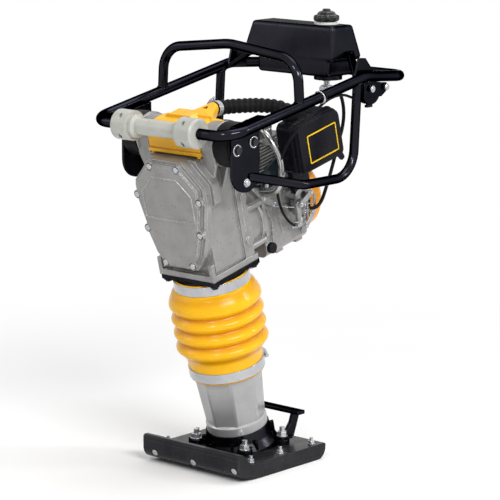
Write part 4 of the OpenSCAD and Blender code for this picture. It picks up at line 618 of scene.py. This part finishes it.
# bead radius, and its lumps as (height, how many go round, shift from one seam to the next)
bead = {"radius": 1.9, "lumps": ((0.35, 19, 1), (0.2, 7, 2)), "sides": 12}


# seam of a stem on a rail: a point of the stem's round, q, moved by h along the stem until it lies on the
# rail's surface, so h is the root of |q + h * stem|^2 - ((q + h * stem) . rail)^2 = (the rail's radius)^2
def seam(w, sides=96):
    stem, rail = [np.array(way, float) / np.linalg.norm(way) for way in (w["stem"], handleRail["way"])]
    u = rail - stem * (rail @ stem)
    u /= np.linalg.norm(u)
    turn = np.linspace(0, 2 * np.pi, sides, endpoint=False)[:, None]
    q = w["radius"] * (np.cos(turn) * u + np.sin(turn) * np.cross(stem, u))
    a, b = 1 - (stem @ rail) ** 2, -2 * (q @ rail) * (stem @ rail)
    c = (q ** 2).sum(1) - (q @ rail) ** 2 - handleRail["radius"] ** 2
    h = (-b + np.sqrt(b * b - 4 * a * c)) / 2 / a
    return np.array(w["at"]) + q + h[:, None] * stem


# a closed ring of wire: point (i, k) = line point i + radius i times (outward cos k + square to both, sin k)
def ringed(line, radius, sides, middle):
    ahead = np.roll(line, -1, 0) - np.roll(line, 1, 0)
    ahead /= np.linalg.norm(ahead, axis=1, keepdims=True)
    out = line - np.asarray(middle, float)
    out -= ahead * (out * ahead).sum(1, keepdims=True)
    out /= np.linalg.norm(out, axis=1, keepdims=True)
    turn = np.linspace(0, 2 * np.pi, sides, endpoint=False)[None, :, None]
    r = np.broadcast_to(radius, len(line))[:, None, None]
    return line[:, None] + r * (out[:, None] * np.cos(turn) + np.cross(ahead, out)[:, None] * np.sin(turn))


def makeWelds(plans, b):
    parts = []
    for i, w in enumerate(plans.values()):
        line = seam(w)
        t = np.arange(len(line)) * 2 * np.pi / len(line)
        radius = b["radius"] + sum(size * np.cos(count * t + shift * i) for size, count, shift in b["lumps"])
        parts.append((fromMounts(ringed(line, radius, b["sides"], w["at"])), True))
    shells("weldBeads", parts, "frame_black", "machine")


makeWelds(weldPlans, bead)

# zinc bolt heads that hold plates on, from the rubber mounts: spot, heading, size across flats, height, washer.
# The first has a twin on the left; the throttle bracket's two are on the right alone
boltPlan = {"pair": [((163.1, 3.4, -79), (1, 0, 0), 12, 6.5, 9)],
            "right": [((215.6, 412, 92), (1, 0, 0), 11, 3.4, 7.4), ((215.6, 362, 92), (1, 0, 0), 11, 3.4, 7.4)]}


def makeBolts(plan):
    for name, side, bolts in (("Right", 1, plan["pair"] + plan["right"]), ("Left", -1, plan["pair"])):
        flip = np.array([side, 1, 1])
        heads = [(fromMounts(hexHead(across, tall, washer, spot * flip, heading * flip)), False)
                 for spot, heading, across, tall, washer in bolts]
        shells("plateBolts" + name, heads, "zinc_plate", "machine", False)


makeBolts(boltPlan)

# engine trim in the leaning frame, millimetres: a bright breather pipe, linkage rods (end, end, radius) and two
# small springs (end, end, radius of the coil, radius of the wire, turns)
pipePlan = {"route": [(52, 158, 742), (74, 156, 743), (92, 150, 736), (104, 148, 722), (113, 149, 704),
                      (118, 152, 684), (119, 152, 662), (119, 147, 640), (114, 141, 620), (98, 137, 606),
                      (62, 136, 600)], "radius": 6.6}
rodPlan = [((112, 216, 505), (103, 238, 566), 1.3), ((103, 206, 548), (112, 250, 541), 1.2),
           ((88, 246, 520), (100, 212, 586), 1.1), ((70, 160, 560), (104, 196, 548), 1.4)]
coilPlan = [((110, 206, 500), (107, 222, 560), 3.6, 0.7, 13), ((98, 250, 520), (108, 214, 534), 3.0, 0.6, 11)]


# helix between two points: middle line + across times (u cos + v sin) of the turn angle, drawn in at both ends
# over 1 / drawIn of its length, then a round wire on it
def coil(a, b, across, wire, turns, steps=16, drawIn=12, least=0.15, sides=8):
    a, b = np.array(a, float), np.array(b, float)
    z = (b - a) / np.linalg.norm(b - a)
    u = np.cross(z, (1, 0.2, 0.1))
    u /= np.linalg.norm(u)
    t = np.linspace(0, 1, turns * steps + 1)[:, None]
    spin = 2 * np.pi * turns * t
    reach = across * np.clip(np.minimum(t, 1 - t) * drawIn, least, 1)
    line = a + (b - a) * t + reach * (np.cos(spin) * u + np.sin(spin) * np.cross(z, u))
    return carried(line, wire, sides, z)


def makeTrim(pipe, rods, springs):
    tube = leaning(carried(smoothLine(pipe["route"], 10), pipe["radius"], 24, (0, 1, 0.2)))
    shells("breatherPipe", [(tube, False)], "bright_pipe", "machine")
    sticks = [(leaning(carried(np.linspace(a, b, 6), r, 12, (0.2, 0.1, 1))), False) for a, b, r in rods]
    shells("linkRods", sticks, "zinc_plate", "machine")
    shells("linkSprings", [(leaning(coil(*c)), False) for c in springs], "zinc_plate", "machine")


makeTrim(pipePlan, rodPlan, coilPlan)


# rounded rectangle: four quarter circles whose middles lie a radius in from the corners
def roundedFrame(halfV, halfW, radius, steps=8):
    turn = np.linspace(0, np.pi / 2, steps)[None] + np.arange(4)[:, None] * np.pi / 2
    cv = np.array([1, -1, -1, 1])[:, None] * (halfV - radius)
    cw = np.array([1, 1, -1, -1])[:, None] * (halfW - radius)
    return np.stack([(cv + radius * np.cos(turn)).ravel(), (cw + radius * np.sin(turn)).ravel()], -1)


# plain framed field on the air cleaner's cover (leaning frame): rounded rectangles, out and up, in and down
fieldPlan = {"middle": (150, 263.7, 680.8), "halfV": 49.6, "halfW": 32.6, "radius": 3.4, "line": 2.9,
             "lift": 0.45, "sunk": 0.4}


def makeField(f):
    rings = [(0, -f["sunk"]), (0, f["lift"]), (f["line"], f["lift"]), (f["line"], -f["sunk"])]
    grid = []
    for inward, x in rings:
        flat = roundedFrame(f["halfV"] - inward, f["halfW"] - inward, max(f["radius"] - inward, 0.6))
        grid.append(np.stack([np.full(len(flat), x), flat[:, 0], flat[:, 1]], -1) + f["middle"])
    shells("fieldBorder", [(leaning(np.stack(grid)), True)], "border_yellow", "machine", False)


makeField(fieldPlan)

# washers round the mount bolts (leaning frame): a turned ring, flat below and crowned above
washerPlan = {"spots": [(s * 163.15, 5.4 + y, 767.7) for s in (1, -1) for y in (-27, 27)],
              "rows": [(9.5, 0), (13.0, 0), (13.4, 0.6), (13.2, 1.5), (12.2, 2.1), (9.5, 2.1)]}


def makeWashers(w):
    rings = [(leaning(setDown(turned(w["rows"], 48), p, (np.sign(p[0]), 0, 0))), True) for p in w["spots"]]
    shells("mountWashers", rings, "zinc_plate", "machine")


makeWashers(washerPlan)


# flat bar with round ends between two points: a stadium outline in four layers, its edges eased a little
def flatBar(a, b, width, thick, up, steps=12, inset=0.5, ease=0.4):
    a, b = np.array(a, float), np.array(b, float)
    along = (b - a) / np.linalg.norm(b - a)
    n = np.asarray(up, float) - along * np.dot(up, along)
    n /= np.linalg.norm(n)
    side = np.cross(n, along)
    turn = np.linspace(-np.pi / 2, np.pi / 2, steps)
    out = np.concatenate([turn, turn + np.pi])[:, None]
    foot = np.concatenate([np.tile(b, (steps, 1)), np.tile(a, (steps, 1))])
    r = width / 2
    layers = [(r - inset, 0), (r, ease), (r, thick - ease), (r - inset, thick)]
    return np.stack([foot + r * (np.cos(out) * along + np.sin(out) * side) + n * h for r, h in layers])


# levers and plates round the carburettor (end, end, width, thickness), their screws, a low sill under the
# crankcase cover, and the dark shroud beside the cylinder's fins, all in the leaning frame
barPlan = [((110, 203, 552), (112, 240, 568), 13, 2.2), ((113, 207, 500), (113, 236, 521), 11, 2.2),
           ((115.4, 236, 521), (110, 252, 556), 8, 2.0), ((108, 196, 520), (108, 196, 556), 12, 2.0),
           ((70, 128, 590), (70, 158, 566), 14, 3.0), ((92, 150, 716), (60, 168, 706), 12, 2.6),
           ((60, 150, 742), (60, 190, 728), 16, 3.0)]
sillPlan = ((-43, -61.5, 483.9), (43, -61.5, 483.9), 9.4, 1.6)
screwPlan = {"across": 8.2, "tall": 4.2, "washer": 5.6,
             "spots": [(113.4, 207, 500), (112.6, 236, 521), (112.4, 240, 568), (112.2, 203, 552),
                       (110.2, 196, 520), (63.2, 150, 742), (63.2, 190, 728), (73.2, 128, 590),
                       (73.2, 158, 566), (66.5, 150, 612), (66.5, 218, 618)]}
shroudPlan = {"v": (140, 232), "low": 602, "high": (640, 684), "x": 59.5, "bow": 3.2, "lip": 5.5, "roll": 0.08,
              "thick": 1.5}


def makeLevers(bars, sill, screws):
    plates = [(leaning(flatBar(*bar, (1, 0.02, 0.05))), False) for bar in bars]
    shells("linkBars", plates, "pot_metal", "machine", False)
    shells("coverSill", [(leaning(flatBar(*sill, (0, 0, 1))), False)], "cast_alloy", "machine", False)
    heads = [(leaning(hexHead(screws["across"], screws["tall"], screws["washer"], spot, (1, 0, 0))), False)
             for spot in screws["spots"]]
    shells("linkScrews", heads, "zinc_plate", "machine", False)


# shroud: place (s, t) is v across, w up between a level foot and a rising top edge; it bows out in the middle,
# and its top edge rolls outward as exp(-((1 - t) / roll) ** 2)
def makeShroud(h):
    s, t = np.meshgrid(np.linspace(0, 1, 40), np.linspace(0, 1, 30), indexing="ij")
    v = h["v"][0] + (h["v"][1] - h["v"][0]) * s
    w = h["low"] + (h["high"][0] + (h["high"][1] - h["high"][0]) * s - h["low"]) * t
    x = h["x"] + h["bow"] * np.sin(np.pi * s) * np.sin(np.pi * t)
    x += h["lip"] * np.exp(-((1 - t) / h["roll"]) ** 2)
    front = np.stack([x + h["thick"], v, w], -1)
    back = np.stack([x, v, w], -1)
    sheet = np.concatenate([front, back[:, ::-1]], 1)
    shells("fanShroud", [(leaning(sheet), False)], "shroud_paint", "machine")


makeLevers(barPlan, sillPlan, screwPlan)
makeShroud(shroudPlan)
print("cap, welds, bolts and engine trim made")

# two turns of wire clip and a strap that hold the cable to the rail (from the rubber mounts): (radius, radius
# of the wire, tilt, place along the rail)
clipPlan = {"at": (202.4, 197, 88.4), "straps": [(12.9, 1.1, 0.0, 9.0)],
            "wires": [(13.5, 1.3, 0.0, 0), (13.9, 1.3, 0.22, 1.5)]}


def railRings(c, rings, steps=72, sides=12):
    e = np.array(handleRail["way"]) / np.linalg.norm(handleRail["way"])
    u = np.cross(e, (1, 0, 0))
    turn = np.linspace(0, 2 * np.pi, steps, endpoint=False)[:, None]
    made = []
    for radius, wire, tilt, along in rings:
        line = np.array(c["at"]) + radius * (np.cos(turn) * np.array([1.0, 0, 0]) + np.sin(turn) * u)
        line = line + e * (along + radius * tilt * np.sin(turn))
        made.append((fromMounts(ringed(line, wire, sides, np.array(c["at"]) + e * along)), True))
    return made


shells("cableClip", railRings(clipPlan, clipPlan["wires"]), "zinc_plate", "machine")
shells("cableStrap", railRings(clipPlan, clipPlan["straps"]), "black_rubber", "machine")

# low dome heads in the shoe's toe, in millimetres on the ground: height = tall * (1 - (r / radius) ** 2) ** 0.5
toePlan = {"spots": [(-108.2, -147.2, 26.0), (8.3, -146.6, 24.6), (131, -147.7, 27.3)],
           "heading": (0, -0.92, -0.38), "radius": 7.5, "tall": 1.7, "sunk": 0.3}


def makeToeHeads(p):
    r = np.linspace(1, 0.06, 10)
    rows = np.stack([p["radius"] * r, p["tall"] * np.sqrt(1 - (r * 0.999) ** 2)], -1)
    rows = np.vstack([[p["radius"], -p["sunk"]], rows])
    heads = [(metres(setDown(turned(rows, 40), spot, p["heading"])), False) for spot in p["spots"]]
    shells("toeHeads", heads, "zinc_plate", "foot")


makeToeHeads(toePlan)
print("clips and toe heads made")
